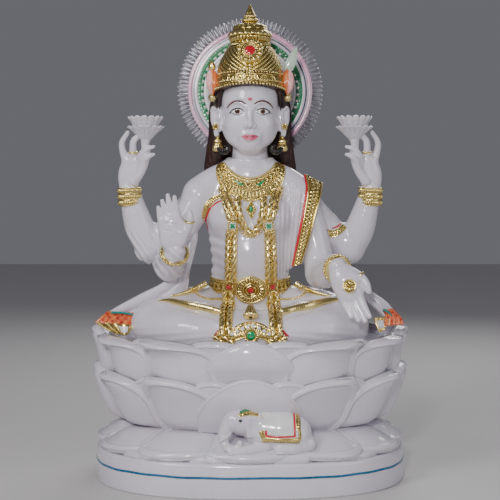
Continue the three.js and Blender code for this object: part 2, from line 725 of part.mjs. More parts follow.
place("collar_necklace", collar(), gold);
place("short_garland", shortGarland(), gold);
place("garland_clasp", garlandClasp(), gold);
place("belt", belt(), gold);
place("belt_medallion", beltMedallion(), gold);
place("sari_border", sariBorder(), gold);

place("scarf_right", scarfRight(), marble);
place("scarf_right_end", scarfRightEnd(), orangePaint);
place("scarf_left", scarfLeft(), marble);
place("scarf_left_end", scarfLeftEnd(), orangePaint);

place("halo_dowel", haloPin(), steel);
place("figure_dowel", figurePin(), steel);
place("throne_dowel", thronePin(), steel);

export default statue;
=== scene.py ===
"""The looks of a seated, four-armed marble deity on a double lotus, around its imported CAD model.

Shapes are worked out in millimetres, with +Z up and the figure facing -Y, and become metres when a
mesh is made. Right and left are the figure's own: its right is -X."""
import math

import bpy
import numpy as np
import openvdb
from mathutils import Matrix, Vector
from mathutils.bvhtree import BVHTree


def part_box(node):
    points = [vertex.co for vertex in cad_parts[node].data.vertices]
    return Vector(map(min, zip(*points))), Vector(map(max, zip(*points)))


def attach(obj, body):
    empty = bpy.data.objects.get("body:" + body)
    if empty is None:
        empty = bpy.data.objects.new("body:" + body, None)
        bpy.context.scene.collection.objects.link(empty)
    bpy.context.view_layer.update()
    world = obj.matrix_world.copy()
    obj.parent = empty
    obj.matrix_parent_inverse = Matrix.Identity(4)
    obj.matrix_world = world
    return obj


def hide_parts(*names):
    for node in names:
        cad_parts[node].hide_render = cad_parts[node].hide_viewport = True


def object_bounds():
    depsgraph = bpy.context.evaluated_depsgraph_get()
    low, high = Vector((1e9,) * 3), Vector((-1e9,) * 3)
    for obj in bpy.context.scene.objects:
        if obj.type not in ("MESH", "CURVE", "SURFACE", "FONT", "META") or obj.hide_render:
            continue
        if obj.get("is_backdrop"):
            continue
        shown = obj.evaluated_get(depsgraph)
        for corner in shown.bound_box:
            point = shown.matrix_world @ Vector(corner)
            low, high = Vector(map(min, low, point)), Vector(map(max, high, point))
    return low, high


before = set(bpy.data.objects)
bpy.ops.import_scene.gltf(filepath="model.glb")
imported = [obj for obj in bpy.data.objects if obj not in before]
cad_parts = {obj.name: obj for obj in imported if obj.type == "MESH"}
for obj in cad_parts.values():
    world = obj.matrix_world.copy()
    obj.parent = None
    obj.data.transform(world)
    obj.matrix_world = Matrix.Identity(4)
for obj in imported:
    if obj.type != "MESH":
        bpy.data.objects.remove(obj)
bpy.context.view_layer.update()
MM = 0.001


def span(node):
    """A CAD node's lowest and highest corners, in millimetres."""
    low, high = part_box(node)
    return np.array(low) / MM, np.array(high) / MM


# ------------------------------------------------------------------ materials
def shade(name, colour, roughness=0.3, metallic=0.0, coat=0.0, subsurface=0.0):
    """A principled material and the parts that the detail below is wired to."""
    material = bpy.data.materials.new(name)
    material.use_nodes = True
    nodes, links = material.node_tree.nodes, material.node_tree.links
    shader = nodes["Principled BSDF"]
    shader.inputs["Base Color"].default_value = (*colour, 1)
    shader.inputs["Roughness"].default_value = roughness
    shader.inputs["Metallic"].default_value = metallic
    shader.inputs["Coat Weight"].default_value = coat
    shader.inputs["Coat Roughness"].default_value = 0.05
    shader.inputs["Subsurface Weight"].default_value = subsurface
    shader.inputs["Subsurface Radius"].default_value = (1.0, 0.8, 0.7)
    shader.inputs["Subsurface Scale"].default_value = 0.006
    return material, nodes, links, shader


def noise(nodes, links, scale, detail=4.0, stretch=(1, 1, 1), distortion=0.0):
    """Noise over the piece's own coordinates, in metres."""
    place = nodes.new("ShaderNodeTexCoord")
    mapping = nodes.new("ShaderNodeMapping")
    mapping.inputs["Scale"].default_value = stretch
    texture = nodes.new("ShaderNodeTexNoise")
    texture.inputs["Scale"].default_value = scale
    texture.inputs["Detail"].default_value = detail
    texture.inputs["Distortion"].default_value = distortion
    links.new(place.outputs["Object"], mapping.inputs["Vector"])
    links.new(mapping.outputs["Vector"], texture.inputs["Vector"])
    return texture.outputs["Fac"]


def ramp(nodes, links, value, stops):
    """Colours or greys along a value: stops are (position, colour)."""
    node = nodes.new("ShaderNodeValToRGB")
    while len(node.color_ramp.elements) < len(stops):
        node.color_ramp.elements.new(0.5)
    for element, (position, colour) in zip(node.color_ramp.elements, stops):
        element.position = position
        element.color = (*colour, 1) if isinstance(colour, tuple) else (colour, colour, colour, 1)
    links.new(value, node.inputs["Fac"])
    return node.outputs["Color"]


def bump(nodes, links, shader, value, strength, distance=0.0004):
    node = nodes.new("ShaderNodeBump")
    node.inputs["Strength"].default_value = strength
    node.inputs["Distance"].default_value = distance
    links.new(value, node.inputs["Height"])
    links.new(node.outputs["Normal"], shader.inputs["Normal"])


def marble():
    material, nodes, links, shader = shade("marble", (0.8, 0.79, 0.82), 0.14, coat=0.35, subsurface=0.22)
    cloud = noise(nodes, links, 5.0, 5, (1, 1, 0.6), 0.8)
    tint = ramp(
        nodes, links, cloud,
        [(0.3, (0.66, 0.62, 0.69)), (0.55, (0.73, 0.695, 0.765)), (0.8, (0.78, 0.745, 0.795))],
    )
    vein = noise(nodes, links, 9.0, 8, (1, 1, 0.35), 2.4)
    line = ramp(nodes, links, vein, [(0.485, 0.0), (0.5, 0.11), (0.515, 0.0)])
    mix = nodes.new("ShaderNodeMix")
    mix.data_type = "RGBA"
    mix.inputs["B"].default_value = (0.52, 0.52, 0.58, 1)
    links.new(line, mix.inputs["Factor"])
    links.new(tint, mix.inputs["A"])
    links.new(mix.outputs["Result"], shader.inputs["Base Color"])
    polish = noise(nodes, links, 40.0, 3)
    links.new(ramp(nodes, links, polish, [(0.3, 0.1), (0.7, 0.2)]), shader.inputs["Roughness"])
    bump(nodes, links, shader, noise(nodes, links, 55.0, 2), 0.12)
    return material


def gold_leaf():
    material, nodes, links, shader = shade("gold leaf", (0.95, 0.64, 0.2), 0.22, metallic=1.0)
    # Painted shade and highlight: by the mesh's pointiness the gold goes nearly black in the crevices,
    # where shade falls, and bright on the ridges.
    relief = nodes.new("ShaderNodeNewGeometry").outputs["Pointiness"]
    tone = ramp(
        nodes, links, relief,
        [(0.43, (0.06, 0.034, 0.006)), (0.488, (0.56, 0.385, 0.075)), (0.528, (0.97, 0.79, 0.33))],
    )
    links.new(tone, shader.inputs["Base Color"])
    grain = noise(nodes, links, 180.0, 3)
    links.new(ramp(nodes, links, grain, [(0.3, 0.15), (0.75, 0.28)]), shader.inputs["Roughness"])
    bump(nodes, links, shader, noise(nodes, links, 240.0, 2), 0.16, 0.0003)
    return material


def paint(name, colour, deep, roughness=0.22, scale=70.0, metallic=0.0):
    """Hand-laid gloss paint: thicker and thinner strokes change its tone and polish."""
    material, nodes, links, shader = shade(name, colour, roughness, metallic=metallic, coat=0.4)
    stroke = noise(nodes, links, scale, 4, (1, 1, 0.4))
    links.new(ramp(nodes, links, stroke, [(0.3, deep), (0.65, colour)]), shader.inputs["Base Color"])
    polish = ramp(
        nodes, links, noise(nodes, links, scale * 2, 2), [(0.3, roughness * 0.7), (0.7, roughness * 1.5)],
    )
    links.new(polish, shader.inputs["Roughness"])
    return material


def hair_paint():
    material, nodes, links, shader = shade("hair paint", (0.03, 0.012, 0.008), 0.42)
    strand = noise(nodes, links, 220.0, 5, (1, 1, 0.06), 0.6)
    links.new(
        ramp(nodes, links, strand, [(0.3, (0.004, 0.002, 0.002)), (0.7, (0.045, 0.013, 0.007))]),
        shader.inputs["Base Color"],
    )
    bump(nodes, links, shader, strand, 0.7, 0.0012)
    return material


def glass(name, colour):
    material, nodes, links, shader = shade(name, colour, 0.05, coat=1.0)
    shader.inputs["IOR"].default_value = 1.65
    facet = nodes.new("ShaderNodeTexVoronoi")
    facet.inputs["Scale"].default_value = 320.0
    dark = tuple(c * 0.35 for c in colour)
    links.new(
        ramp(nodes, links, facet.outputs["Distance"], [(0.1, colour), (0.9, dark)]),
        shader.inputs["Base Color"],
    )
    return material


MARBLE = marble()
GOLD = gold_leaf()
HAIR = hair_paint()
# Painted shadow: a near-black brown that stands for the shade between and under the crown's pearls.
GOLD_SHADOW = paint("gold in shadow", (0.09, 0.05, 0.012), (0.035, 0.02, 0.006), 0.6, 90.0)
BLACK = paint("black paint", (0.012, 0.008, 0.008), (0.004, 0.003, 0.003), 0.15)
BROWN = paint("brown paint", (0.12, 0.035, 0.015), (0.05, 0.014, 0.007))
WHITE = paint("white paint", (0.85, 0.84, 0.84), (0.7, 0.7, 0.72), 0.15)
PINK = paint("pink paint", (0.78, 0.2, 0.28), (0.6, 0.1, 0.18))
LILAC = paint("lilac paint", (0.78, 0.56, 0.68), (0.7, 0.28, 0.47), 0.22, 34.0)
RED = paint("red paint", (0.72, 0.03, 0.04), (0.45, 0.01, 0.02))
ORANGE = paint("orange paint", (0.8, 0.24, 0.06), (0.62, 0.08, 0.03))
BLUSH = paint("blush paint", (0.9, 0.5, 0.48), (0.82, 0.32, 0.3))
GREEN = paint("green paint", (0.01, 0.26, 0.09), (0.005, 0.13, 0.05))
TEAL = paint("teal paint", (0.01, 0.3, 0.27), (0.0, 0.2, 0.2))
BLUE = paint("blue paint", (0.01, 0.16, 0.33), (0.0, 0.09, 0.2))
NAVY = paint("navy paint", (0.05, 0.06, 0.13), (0.02, 0.025, 0.06))
LEAF = paint("pale leaf paint", (0.5, 0.62, 0.5), (0.36, 0.5, 0.42))
RED_GLASS = glass("red glass", (0.75, 0.01, 0.02))
GREEN_GLASS = glass("green glass", (0.0, 0.42, 0.14))
SILVER = paint("silver paint", (0.42, 0.41, 0.45), (0.22, 0.21, 0.25), 0.16, 90.0, 0.35)
SLOT_MATERIALS = {
    "marble": (MARBLE, WHITE, BLUE, SILVER),
    "gold_leaf": (GOLD, GOLD_SHADOW),
    "hair_paint": (HAIR, BLACK, BROWN),
    "orange_paint": (ORANGE, BLUSH, PINK, LILAC, RED),
    "green_enamel": (GREEN, TEAL, NAVY, LEAF, GREEN_GLASS),
    "red_gem": (RED_GLASS,),
}
SLOTS = {material.name: slot for slot, materials in SLOT_MATERIALS.items() for material in materials}


# ------------------------------------------------------------------ meshes
def piece(name, points, faces, material, nodes=()):
    """A closed mesh from points in millimetres. It rides on the one body, and stands for the CAD
    nodes named."""
    points = np.asarray(points, np.float32) * MM
    faces = np.asarray(faces, np.int32)
    if volume(points, faces) < 0:
        faces = faces[:, ::-1]
    mesh = bpy.data.meshes.new(name)
    mesh.vertices.add(len(points))
    mesh.vertices.foreach_set("co", points.ravel())
    corners = faces.shape[1]
    mesh.loops.add(faces.size)
    mesh.loops.foreach_set("vertex_index", np.ascontiguousarray(faces).ravel())
    mesh.polygons.add(len(faces))
    mesh.polygons.foreach_set("loop_start", np.arange(0, faces.size, corners, dtype=np.int32))
    mesh.update(calc_edges=True)
    mesh.validate()
    mesh.polygons.foreach_set("use_smooth", np.full(len(mesh.polygons), True))
    mesh.materials.append(material)
    thing = bpy.data.objects.new(name, mesh)
    bpy.context.scene.collection.objects.link(thing)
    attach(thing, "root")
    if nodes:
        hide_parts(*nodes)
    return thing


def volume(points, faces):
    total = 0.0
    a = points[faces[:, 0]].astype(float)
    for k in range(1, faces.shape[1] - 1):
        b, c = points[faces[:, k]].astype(float), points[faces[:, k + 1]].astype(float)
        total += np.einsum("ij,ij->i", a, np.cross(b, c)).sum()
    return total


def join(parts):
    """Several (points, faces) as one."""
    points, faces, start = [], [], 0
    for p, f in parts:
        p = np.asarray(p, float)
        f = np.asarray(f)
        if f.shape[1] == 3:
            f = np.column_stack([f, f[:, 2]])
        if volume(p, f) < 0:
            f = f[:, ::-1]
        points.append(p)
        faces.append(f + start)
        start += len(p)
    return np.concatenate(points), np.concatenate(faces)


def sheet_faces(rows, columns, wrap_rows=False, wrap_columns=False):
    """Quads of a grid of points numbered row by row."""
    i = np.arange(rows if wrap_rows else rows - 1)[:, None]
    j = np.arange(columns if wrap_columns else columns - 1)[None, :]
    k, m = (i + 1) % rows, (j + 1) % columns
    quads = [i * columns + j, k * columns + j, k * columns + m, i * columns + m]
    return np.stack([np.broadcast_to(q, (i.shape[0], j.shape[1])) for q in quads], -1).reshape(-1, 4)


def rings(sections):
    """A closed solid through rings of points, with each end drawn in to its middle."""
    sections = [np.asarray(s, float) for s in sections]
    first, last = sections[0].mean(0), sections[-1].mean(0)
    count = len(sections[0])
    grid = [np.repeat(first[None], count, 0), *sections, np.repeat(last[None], count, 0)]
    return np.concatenate(grid), sheet_faces(len(grid), count, wrap_columns=True)


def turned(profile, at=(0, 0, 0), axis=(0, 0, 1), sides=64, relief=None):
    """A turned solid: profile points are (radius, height) and relief(height, angle) adds to the radius."""
    profile = np.asarray(profile, float)
    turn = np.array(Vector((0, 0, 1)).rotation_difference(Vector(axis)).to_matrix())
    angle = circle(sides)
    sections = []
    for radius, height in profile:
        r = np.full(sides, radius)
        if relief is not None:
            r = r + relief(height, angle)
        section = np.stack([r * np.sin(angle), -r * np.cos(angle), np.full(sides, height)], 1)
        sections.append(section @ turn.T + np.asarray(at, float))
    return rings(sections)


def lengths(line):
    """How far along a line each of its points is."""
    return np.concatenate([[0], np.cumsum(np.linalg.norm(np.diff(line, axis=0), axis=1))])


def smooth_line(points, count):
    """A smooth line through control points: any number of values each, evenly spaced along it."""
    p = np.asarray(points, float)
    p = np.vstack([2 * p[0] - p[1], p, 2 * p[-1] - p[-2]])
    t = np.linspace(0, len(p) - 3, 24 * (len(p) - 3) + 1)
    i = np.minimum(t.astype(int), len(p) - 4)
    f = (t - i)[:, None]
    a, b, c, d = p[i], p[i + 1], p[i + 2], p[i + 3]
    fine = 0.5 * (2 * b + (c - a) * f + (2 * a - 5 * b + 4 * c - d) * f**2 + (3 * b - a - 3 * c + d) * f**3)
    along = lengths(fine[:, :3])
    even = np.linspace(0, along[-1], count)
    return np.stack([np.interp(even, along, fine[:, k]) for k in range(fine.shape[1])], 1)


def rise(value, low, high):
    """0 below low, 1 above high and smooth between."""
    t = np.clip((value - low) / (high - low), 0, 1)
    return t * t * (3 - 2 * t)


def window(value, low, full, still, high):
    """1 from full to still, and 0 below low and above high."""
    return rise(value, low, full) * rise(-value, -high, -still)


def ridge(distance, width):
    """A rounded ridge: 1 at no distance from its middle."""
    return np.exp(-((distance / width) ** 2))


def circle(count):
    """Angles evenly spaced round a circle."""
    return np.linspace(0, 2 * np.pi, count, endpoint=False)


def unit(vectors):
    return vectors / np.maximum(np.linalg.norm(vectors, axis=-1, keepdims=True), 1e-6)


# ------------------------------------------------------------------ clay: soft solids on a grid
FAR = 60.0  # the distance in an empty field, in millimetres
NEAR = 5.0  # how far from the surface distances are kept when it is meshed


class Clay:
    """A distance field in millimetres, negative inside, that shapes are blended into or carved from."""

    def __init__(self, low, high, step):
        self.low, self.step = np.array(low, float), step
        count = np.ceil((np.array(high) - self.low) / step).astype(int) + 1
        axes = [(self.low[k] + step * np.arange(count[k])).astype(np.float32) for k in range(3)]
        self.x, self.y, self.z = axes[0][:, None, None], axes[1][None, :, None], axes[2][None, None, :]
        self.d = np.full(count, FAR, np.float32)

    def _window(self, low, high):
        cuts = []
        for k in range(3):
            a = int(np.clip((low[k] - self.low[k]) // self.step, 0, self.d.shape[k]))
            b = int(np.clip((high[k] - self.low[k]) // self.step + 2, 0, self.d.shape[k]))
            cuts.append(slice(a, b))
        x, y, z = self.x[cuts[0]], self.y[:, cuts[1]], self.z[:, :, cuts[2]]
        return tuple(cuts), x, y, z

    def blend(self, shape, soft=0.0, sign=1):
        """Adds a shape (low, high, distance), or carves it with sign -1. soft is the blend's width."""
        low, high, distance = shape
        pad = soft + 3 * self.step
        cuts, x, y, z = self._window(np.array(low) - pad, np.array(high) + pad)
        if 0 in self.d[cuts].shape:
            return self
        old, new = sign * self.d[cuts], distance(x, y, z)
        if soft > 0:
            h = np.clip(0.5 + 0.5 * (new - old) / soft, 0, 1)
            mixed = new * (1 - h) + old * h - soft * h * (1 - h)
        else:
            mixed = np.minimum(old, new)
        self.d[cuts] = sign * mixed
        return self

    def carve(self, shape, soft=0.0):
        return self.blend(shape, soft, -1)

    def both(self, shape, soft=0.0):
        self.blend(shape, soft)
        low, high, distance = shape
        flipped = (
            np.array([-high[0], low[1], low[2]]),
            np.array([-low[0], high[1], high[2]]),
            lambda x, y, z: distance(-x, y, z),
        )
        return self.blend(flipped, soft)

    def carve_both(self, shape, soft=0.0):
        self.d = -self.d
        self.both(shape, soft)
        self.d = -self.d
        return self

    def press(self, amount):
        """Moves the surface out by amount(x, y, z), in millimetres."""
        self.d -= amount(self.x, self.y, self.z).astype(np.float32)
        return self

    def keep(self, keep):
        """Cuts away what is outside, where keep(x, y, z) is positive."""
        self.d = np.maximum(self.d, keep(self.x, self.y, self.z).astype(np.float32))
        return self

    def mesh(self):
        self.d[[0, -1]] = self.d[:, [0, -1]] = self.d[:, :, [0, -1]] = NEAR
        grid = openvdb.FloatGrid(background=NEAR)
        grid.copyFromArray(np.clip(self.d, -NEAR, NEAR))
        points, quads = grid.convertToQuads(isovalue=0.0)
        return points * self.step + self.low, quads[:, ::-1].astype(np.int32)


def ball(centre, radii):
    """An ellipsoid."""
    c, r = np.array(centre, np.float32), np.array(radii, np.float32)
    reach = np.full(3, r.max())

    def distance(x, y, z):
        p = [x - c[0], y - c[1], z - c[2]]
        k0 = np.sqrt(sum((p[k] / r[k]) ** 2 for k in range(3)))
        k1 = np.sqrt(sum((p[k] / r[k] ** 2) ** 2 for k in range(3))) + 1e-6
        return k0 * (k0 - 1) / k1

    return c - reach, c + reach, distance


def limb(points, flat=None):
    """Round sections along a smooth line: points are (x, y, z, radius). flat = (direction, factor)
    squeezes the sections towards that direction."""
    line = smooth_line(points, 14).astype(np.float32)
    reach = line[:, 3:4].max()

    def distance(x, y, z):
        best = None
        for a, b in zip(line[:-1], line[1:]):
            e = b[:3] - a[:3]
            px, py, pz = x - a[0], y - a[1], z - a[2]
            t = np.clip((px * e[0] + py * e[1] + pz * e[2]) / (e @ e + 1e-9), 0, 1)
            qx, qy, qz = px - t * e[0], py - t * e[1], pz - t * e[2]
            square = qx * qx + qy * qy + qz * qz
            if flat is not None:
                n, factor = flat
                side = qx * n[0] + qy * n[1] + qz * n[2]
                square = square + (factor * factor - 1) * side * side
            d = np.sqrt(square) - (a[3] + t * (b[3] - a[3]))
            best = d if best is None else np.minimum(best, d)
        return best

    return line[:, :3].min(0) - reach, line[:, :3].max(0) + reach, distance


def stack(levels):
    """Upright elliptical sections: each level is (z, half width, half depth, middle y)."""
    table = smooth_line([(z, 0, 0, a, b, y) for z, a, b, y in levels], 60)
    low = (-table[:, 3].max(), (table[:, 5] - table[:, 4]).min(), table[0, 0])
    high = (table[:, 3].max(), (table[:, 5] + table[:, 4]).max(), table[-1, 0])

    def distance(x, y, z):
        a, b, m = (np.interp(z, table[:, 0], table[:, k]).astype(np.float32) for k in (3, 4, 5))
        r = np.sqrt((x / a) ** 2 + ((y - m) / b) ** 2) + 1e-5
        side = np.sqrt(x * x + (y - m) ** 2) * (1 - 1 / r)
        end = np.maximum(low[2] - z, z - high[2])
        return np.maximum(side, end)

    return np.array(low), np.array(high), distance


def plate(centre, half, axes, edge=2.0):
    """A rounded box: axes are its three directions."""
    c, h = np.array(centre, np.float32), np.array(half, np.float32) - edge
    reach = np.full(3, np.linalg.norm(half))

    def distance(x, y, z):
        p = [x - c[0], y - c[1], z - c[2]]
        q = [abs(p[0] * a[0] + p[1] * a[1] + p[2] * a[2]) - h[k] for k, a in enumerate(axes)]
        outside = np.sqrt(sum(np.maximum(v, 0) ** 2 for v in q))
        return outside + np.minimum(np.maximum(np.maximum(q[0], q[1]), q[2]), 0) - edge

    return c - reach, c + reach, distance


# ------------------------------------------------------------------ relief laid on a carved skin
class Skin:
    """Carved meshes, in millimetres, that relief and jewels are laid on."""

    def __init__(self, *meshes):
        points, faces = join(meshes)
        self.tree = BVHTree.FromPolygons([Vector(p) for p in points], faces.tolist())

    def front(self, x, z):
        """The first point met from the front, and its normal."""
        hit, normal, _, _ = self.tree.ray_cast(Vector((x, -500, z)), Vector((0, 1, 0)))
        if hit is None:
            hit, normal, _, _ = self.tree.find_nearest(Vector((x, -60, z)))
        return np.array(hit), np.array(normal)

    def near(self, point):
        hit, normal, _, _ = self.tree.find_nearest(Vector(point))
        return np.array(hit), np.array(normal)


def soften(grid, times=2):
    """Evens out normals over a grid of them."""
    for _ in range(times):
        padded = np.pad(grid, ((1, 1), (1, 1), (0, 0)), "edge")
        grid = (padded[2:, 1:-1] + padded[:-2, 1:-1] + padded[1:-1, 2:] + padded[1:-1, :-2] + grid) / 5
    return unit(grid)


def slab(base, normal, height, sink):
    """A closed solid from a grid of base points: its top stands out by height, its back sinks in."""
    top = base + normal * height[..., None]
    back = base - normal * sink
    return rings([np.concatenate([t, b[::-1]]) for t, b in zip(top, back)])


def patch(skin, x, z, height, sink=1.6):
    """Relief over a grid of (x, z) places seen from the front."""
    hits = [[skin.front(x[i, j], z[i, j]) for j in range(x.shape[1])] for i in range(x.shape[0])]
    base = np.array([[h[0] for h in row] for row in hits])
    normal = soften(np.array([[h[1] for h in row] for row in hits]))
    return slab(base, normal, np.broadcast_to(height, x.shape), sink)


def trace(skin, line, step=1.4):
    """A smooth line on a skin, from (x, z) places seen from the front or (x, y, z) points near it."""
    line = np.asarray(line, float)
    if line.shape[1] == 2:
        line = np.array([
            skin.front(x, z)[0] for x, z in smooth_line(np.insert(line, 1, 0, 1), 40)[:, [0, 2]]
        ])
    length = np.linalg.norm(np.diff(line, axis=0), axis=1).sum()
    line = smooth_line(line, max(6, int(length / step)))
    hits = [skin.near(p) for p in line]
    base = np.array([h[0] for h in hits])[None]
    for _ in range(3):
        base[:, 1:-1] = (base[:, 2:] + base[:, :-2] + base[:, 1:-1]) / 3
    normal = soften(np.array([h[1] for h in hits])[None], 6)[0]
    return base[0], normal


def ribbon(skin, line, width, height, across=9, step=1.4, sink=1.6):
    """A band of relief along a line: height(s, u) has s from -1 to 1 across and u along, in
    millimetres. width is one number or one per control point, spread evenly."""
    base, normal = trace(skin, line, step)
    side = unit(np.cross(unit(np.gradient(base, axis=0)), normal))
    u = lengths(base)
    wide = np.interp(u / u[-1], np.linspace(0, 1, np.size(width)), np.atleast_1d(width))
    s = np.linspace(-1, 1, across)
    grid = base[:, None] + side[:, None] * (s[None, :, None] * wide[:, None, None] / 2)
    hits = [[skin.near(p) for p in row] for row in grid]
    place = np.array([[h[0] for h in row] for row in hits])
    facing = soften(np.array([[h[1] for h in row] for row in hits]), 3)
    tall = np.broadcast_to(height(s[None, :], u[:, None]), place.shape[:2])
    return slab(place, facing, tall, sink)


def tube(line, radius, sides=12, relief=None, flat=1.0, up=(0, 0, 1)):
    """A round solid along points (x, y, z). relief(angle, u) multiplies its radius."""
    line = np.asarray(line, float)
    tangent = unit(np.gradient(line, axis=0))
    u = lengths(line)
    radius = np.interp(u / u[-1], np.linspace(0, 1, np.size(radius)), np.atleast_1d(radius))
    angle = circle(sides)
    axis = np.array(up, float)
    sections = []
    for point, t, r, along in zip(line, tangent, radius, u):
        axis = axis - t * (axis @ t)
        axis /= np.linalg.norm(axis)
        cross = np.cross(t, axis)
        out = r * (1 if relief is None else relief(angle, along))
        sections.append(
            point + (out * np.cos(angle))[:, None] * axis * flat + (out * np.sin(angle))[:, None] * cross
        )
    return rings(sections)


def rope(skin, line, radius, pitch):
    """A twisted cord of three strands laid on a skin."""
    base, normal = trace(skin, line, 1.5)
    twist = lambda angle, u: 1 + 0.2 * np.cos(3 * angle - 2 * np.pi * u / pitch)
    return tube(base + normal * radius * 0.35, radius, 15, twist, up=normal[0])


def level(skin, line):
    """A path along (x, z) points that stays clear of the cloth under it and bridges its steps."""
    count, reach = 70, 6
    path = smooth_line([(x, 0, z) for x, z in line], count)
    depth = np.minimum([skin.front(x, z)[0][1] for x, _, z in path], -8)
    depth = np.array([depth[max(0, i - reach):i + reach + 1].min() for i in range(count)])
    path[:, 1] = np.convolve(
        np.pad(depth, reach, "edge"), np.ones(2 * reach + 1) / (2 * reach + 1), "valid",
    )
    return path


def cord(skin, line, widths):
    """A flat gilded cord with a row of bosses, as tall as widths along its line."""
    boss = lambda angle, u: 0.86 + 0.24 * bumps(u / 4.4 + 0.5 * np.abs(np.sin(angle)))
    return tube(level(skin, line) + (0, -1.6, 0), np.array(widths) / 3.2, 16, boss, 1.7)


def strung(path, radius):
    """Beads side by side along a path."""
    along = lengths(path)
    spots = np.arange(0, along[-1], radius * 1.9)
    return join([bead([np.interp(u, along, path[:, k]) for k in range(3)], radius) for u in spots])


SPHERE_SIDES, SPHERE_ROWS = 10, 6


def bead(at, radius):
    t = np.linspace(0.12, np.pi - 0.12, SPHERE_ROWS)
    return turned(np.stack([radius * np.sin(t), -radius * np.cos(t)], 1), at, (0, -1, 0), SPHERE_SIDES)


def bead_row(skin, line, radius, gap=2.3, lift=0.4):
    """Beads set side by side along a line on a skin."""
    base, normal = trace(skin, line, radius * gap)
    return join([bead(p + n * radius * lift, radius) for p, n in zip(base, normal)])


def disc(at, axis, outer, height, inner=0.0, back=1.0, rows=14, sides=72, edge=None):
    """A flat round of relief. height(r, angle) stands out along axis; angle is 0 at the top and
    edge(angle) scales the outline."""
    axis = np.array(axis, float) / np.linalg.norm(axis)
    up = np.array((0, 0, 1.0)) - axis * axis[2]
    up /= np.linalg.norm(up)
    right = np.cross(axis, up)
    angle = circle(sides)
    grow = np.ones(sides) if edge is None else edge(angle)
    radius = np.linspace(inner, outer, rows)
    place = (
        lambda r, h: at + up * (r * np.cos(angle))[:, None] + right * (r * np.sin(angle))[:, None]
        + axis * np.reshape(h, (-1, 1))
    )
    top = [place(r * grow, np.broadcast_to(height(np.full(sides, r), angle), sides)) for r in radius]
    under = [place(r * grow, np.full(sides, -back)) for r in radius[::-1]]
    grid = np.array(top + under)
    return grid.reshape(-1, 3), sheet_faces(len(grid), sides, wrap_rows=True, wrap_columns=True)


def lobes(count, angle):
    """Lobes between 0 and 1 round a disc."""
    return np.abs(np.cos(count * angle / 2))


def saw(value):
    """A zigzag between 0 and 1 with a period of 1."""
    return np.abs((value % 1.0) * 2 - 1)


def bumps(value, sharp=0.6):
    """Rounded beads between 0 and 1 with a period of 1."""
    return np.abs(np.sin(np.pi * value)) ** sharp


def studs(angle, count, sharp=0.6):
    """A ring of rounded beads."""
    return bumps(angle * count / (2 * np.pi), sharp)


def dome(base, tall, radius):
    """The height of a rounded stone on a disc."""
    return lambda r, a: base + tall * np.sqrt(np.clip(1 - (r / radius) ** 2, 0, 1))


# ------------------------------------------------------------------ torso and arms
SEAT = span("torso")[0][2]
body = Clay((-264, -176, SEAT - 4), (264, 112, 618), 2.0)
body.blend(stack([
    (262, 88, 66, 30), (300, 92, 64, 28), (340, 84, 56, 22), (372, 78, 52, 16), (410, 75, 49, 13),
    (450, 79, 52, 10), (490, 86, 55, 8), (520, 88, 55, 8), (548, 84, 49, 10), (574, 62, 42, 12),
    (592, 46, 38, 10), (612, 40, 37, 8),
]))
body.both(limb([(30, 12, 588, 28), (66, 8, 568, 32), (98, 4, 546, 33)]), 20)
body.both(ball((41, -27, 500), (38, 35, 38)), 18)
body.blend(ball((0, -22, 425), (56, 36, 60)), 24)
body.carve(ball((0, -74, 500), (7, 22, 30)), 16)
body.both(limb([(92, 22, 545, 32), (140, 26, 492, 29), (196, 26, 438, 29)]), 14)
body.both(limb([(198, 25, 438, 28), (218, 19, 480, 29), (236, 10, 546, 20), (238, 9, 556, 19)]), 9)
body.blend(limb([(-98, -2, 538, 32), (-134, -10, 472, 29), (-158, -26, 408, 28)]), 9)
body.blend(limb([
    (-158, -28, 406, 28), (-152, -72, 408, 28), (-139, -124, 428, 20), (-138, -134, 436, 19),
]), 9)
body.blend(limb([(98, -2, 540, 32), (124, -8, 464, 29), (137, -24, 392, 29)]), 9)
body.blend(limb([(137, -26, 392, 28), (147, -66, 394, 27), (157, -112, 412, 21), (161, -126, 410, 19)]), 9)


def drapery(x, y, z):
    """Folds of the cloth: pleats down the left side, gathers at the right flank, sleeves on the arms."""
    front = rise(-y, -30, 0)
    centre = 80 - 8 * rise(-z, -560, -380)
    fan = (x - centre) / (0.6 + 0.0028 * (z - 370))
    pleats = window(fan, -44, -30, 30, 40) * window(z, 372, 392, 540, 580) * front
    folds = 3.3 * pleats * (bumps(fan / 9.5, 0.7) - 0.4)
    gathers = rise(-x, 40, 54) * rise(-x, -118, -92) * window(z, 376, 392, 452, 482) * rise(-y, -60, -20)
    folds = folds + 1.5 * gathers * np.sin((z + 0.25 * x - 0.004 * (x + 60) ** 2) / 3.1)
    sleeve = (
        rise(np.abs(x), 118, 132) * rise(y, -6, 8) * rise(-z, -520, -480) * rise(z, 424, 440)
        * rise(-np.abs(x), -196, -186)
    )
    return folds + 0.9 * sleeve * np.sin((np.abs(x) * 0.75 - z * 0.66) / 4.2)


body.blend(limb([(96, -10, 540, 22), (95, -14, 500, 24), (86, -12, 455, 21), (72, -6, 412, 14)]), 12)
body.press(drapery)
body.keep(lambda x, y, z: SEAT + 0.4 - z)
body_mesh = body.mesh()
body_skin = Skin(body_mesh)
piece(
    "body_and_arms", *body_mesh, MARBLE,
    ["torso"] + [
        f"{row}_{side}_{part}"
        for row in ("rear", "front")
        for side in ("right", "left")
        for part in ("upper_arm", "forearm")
    ]
)

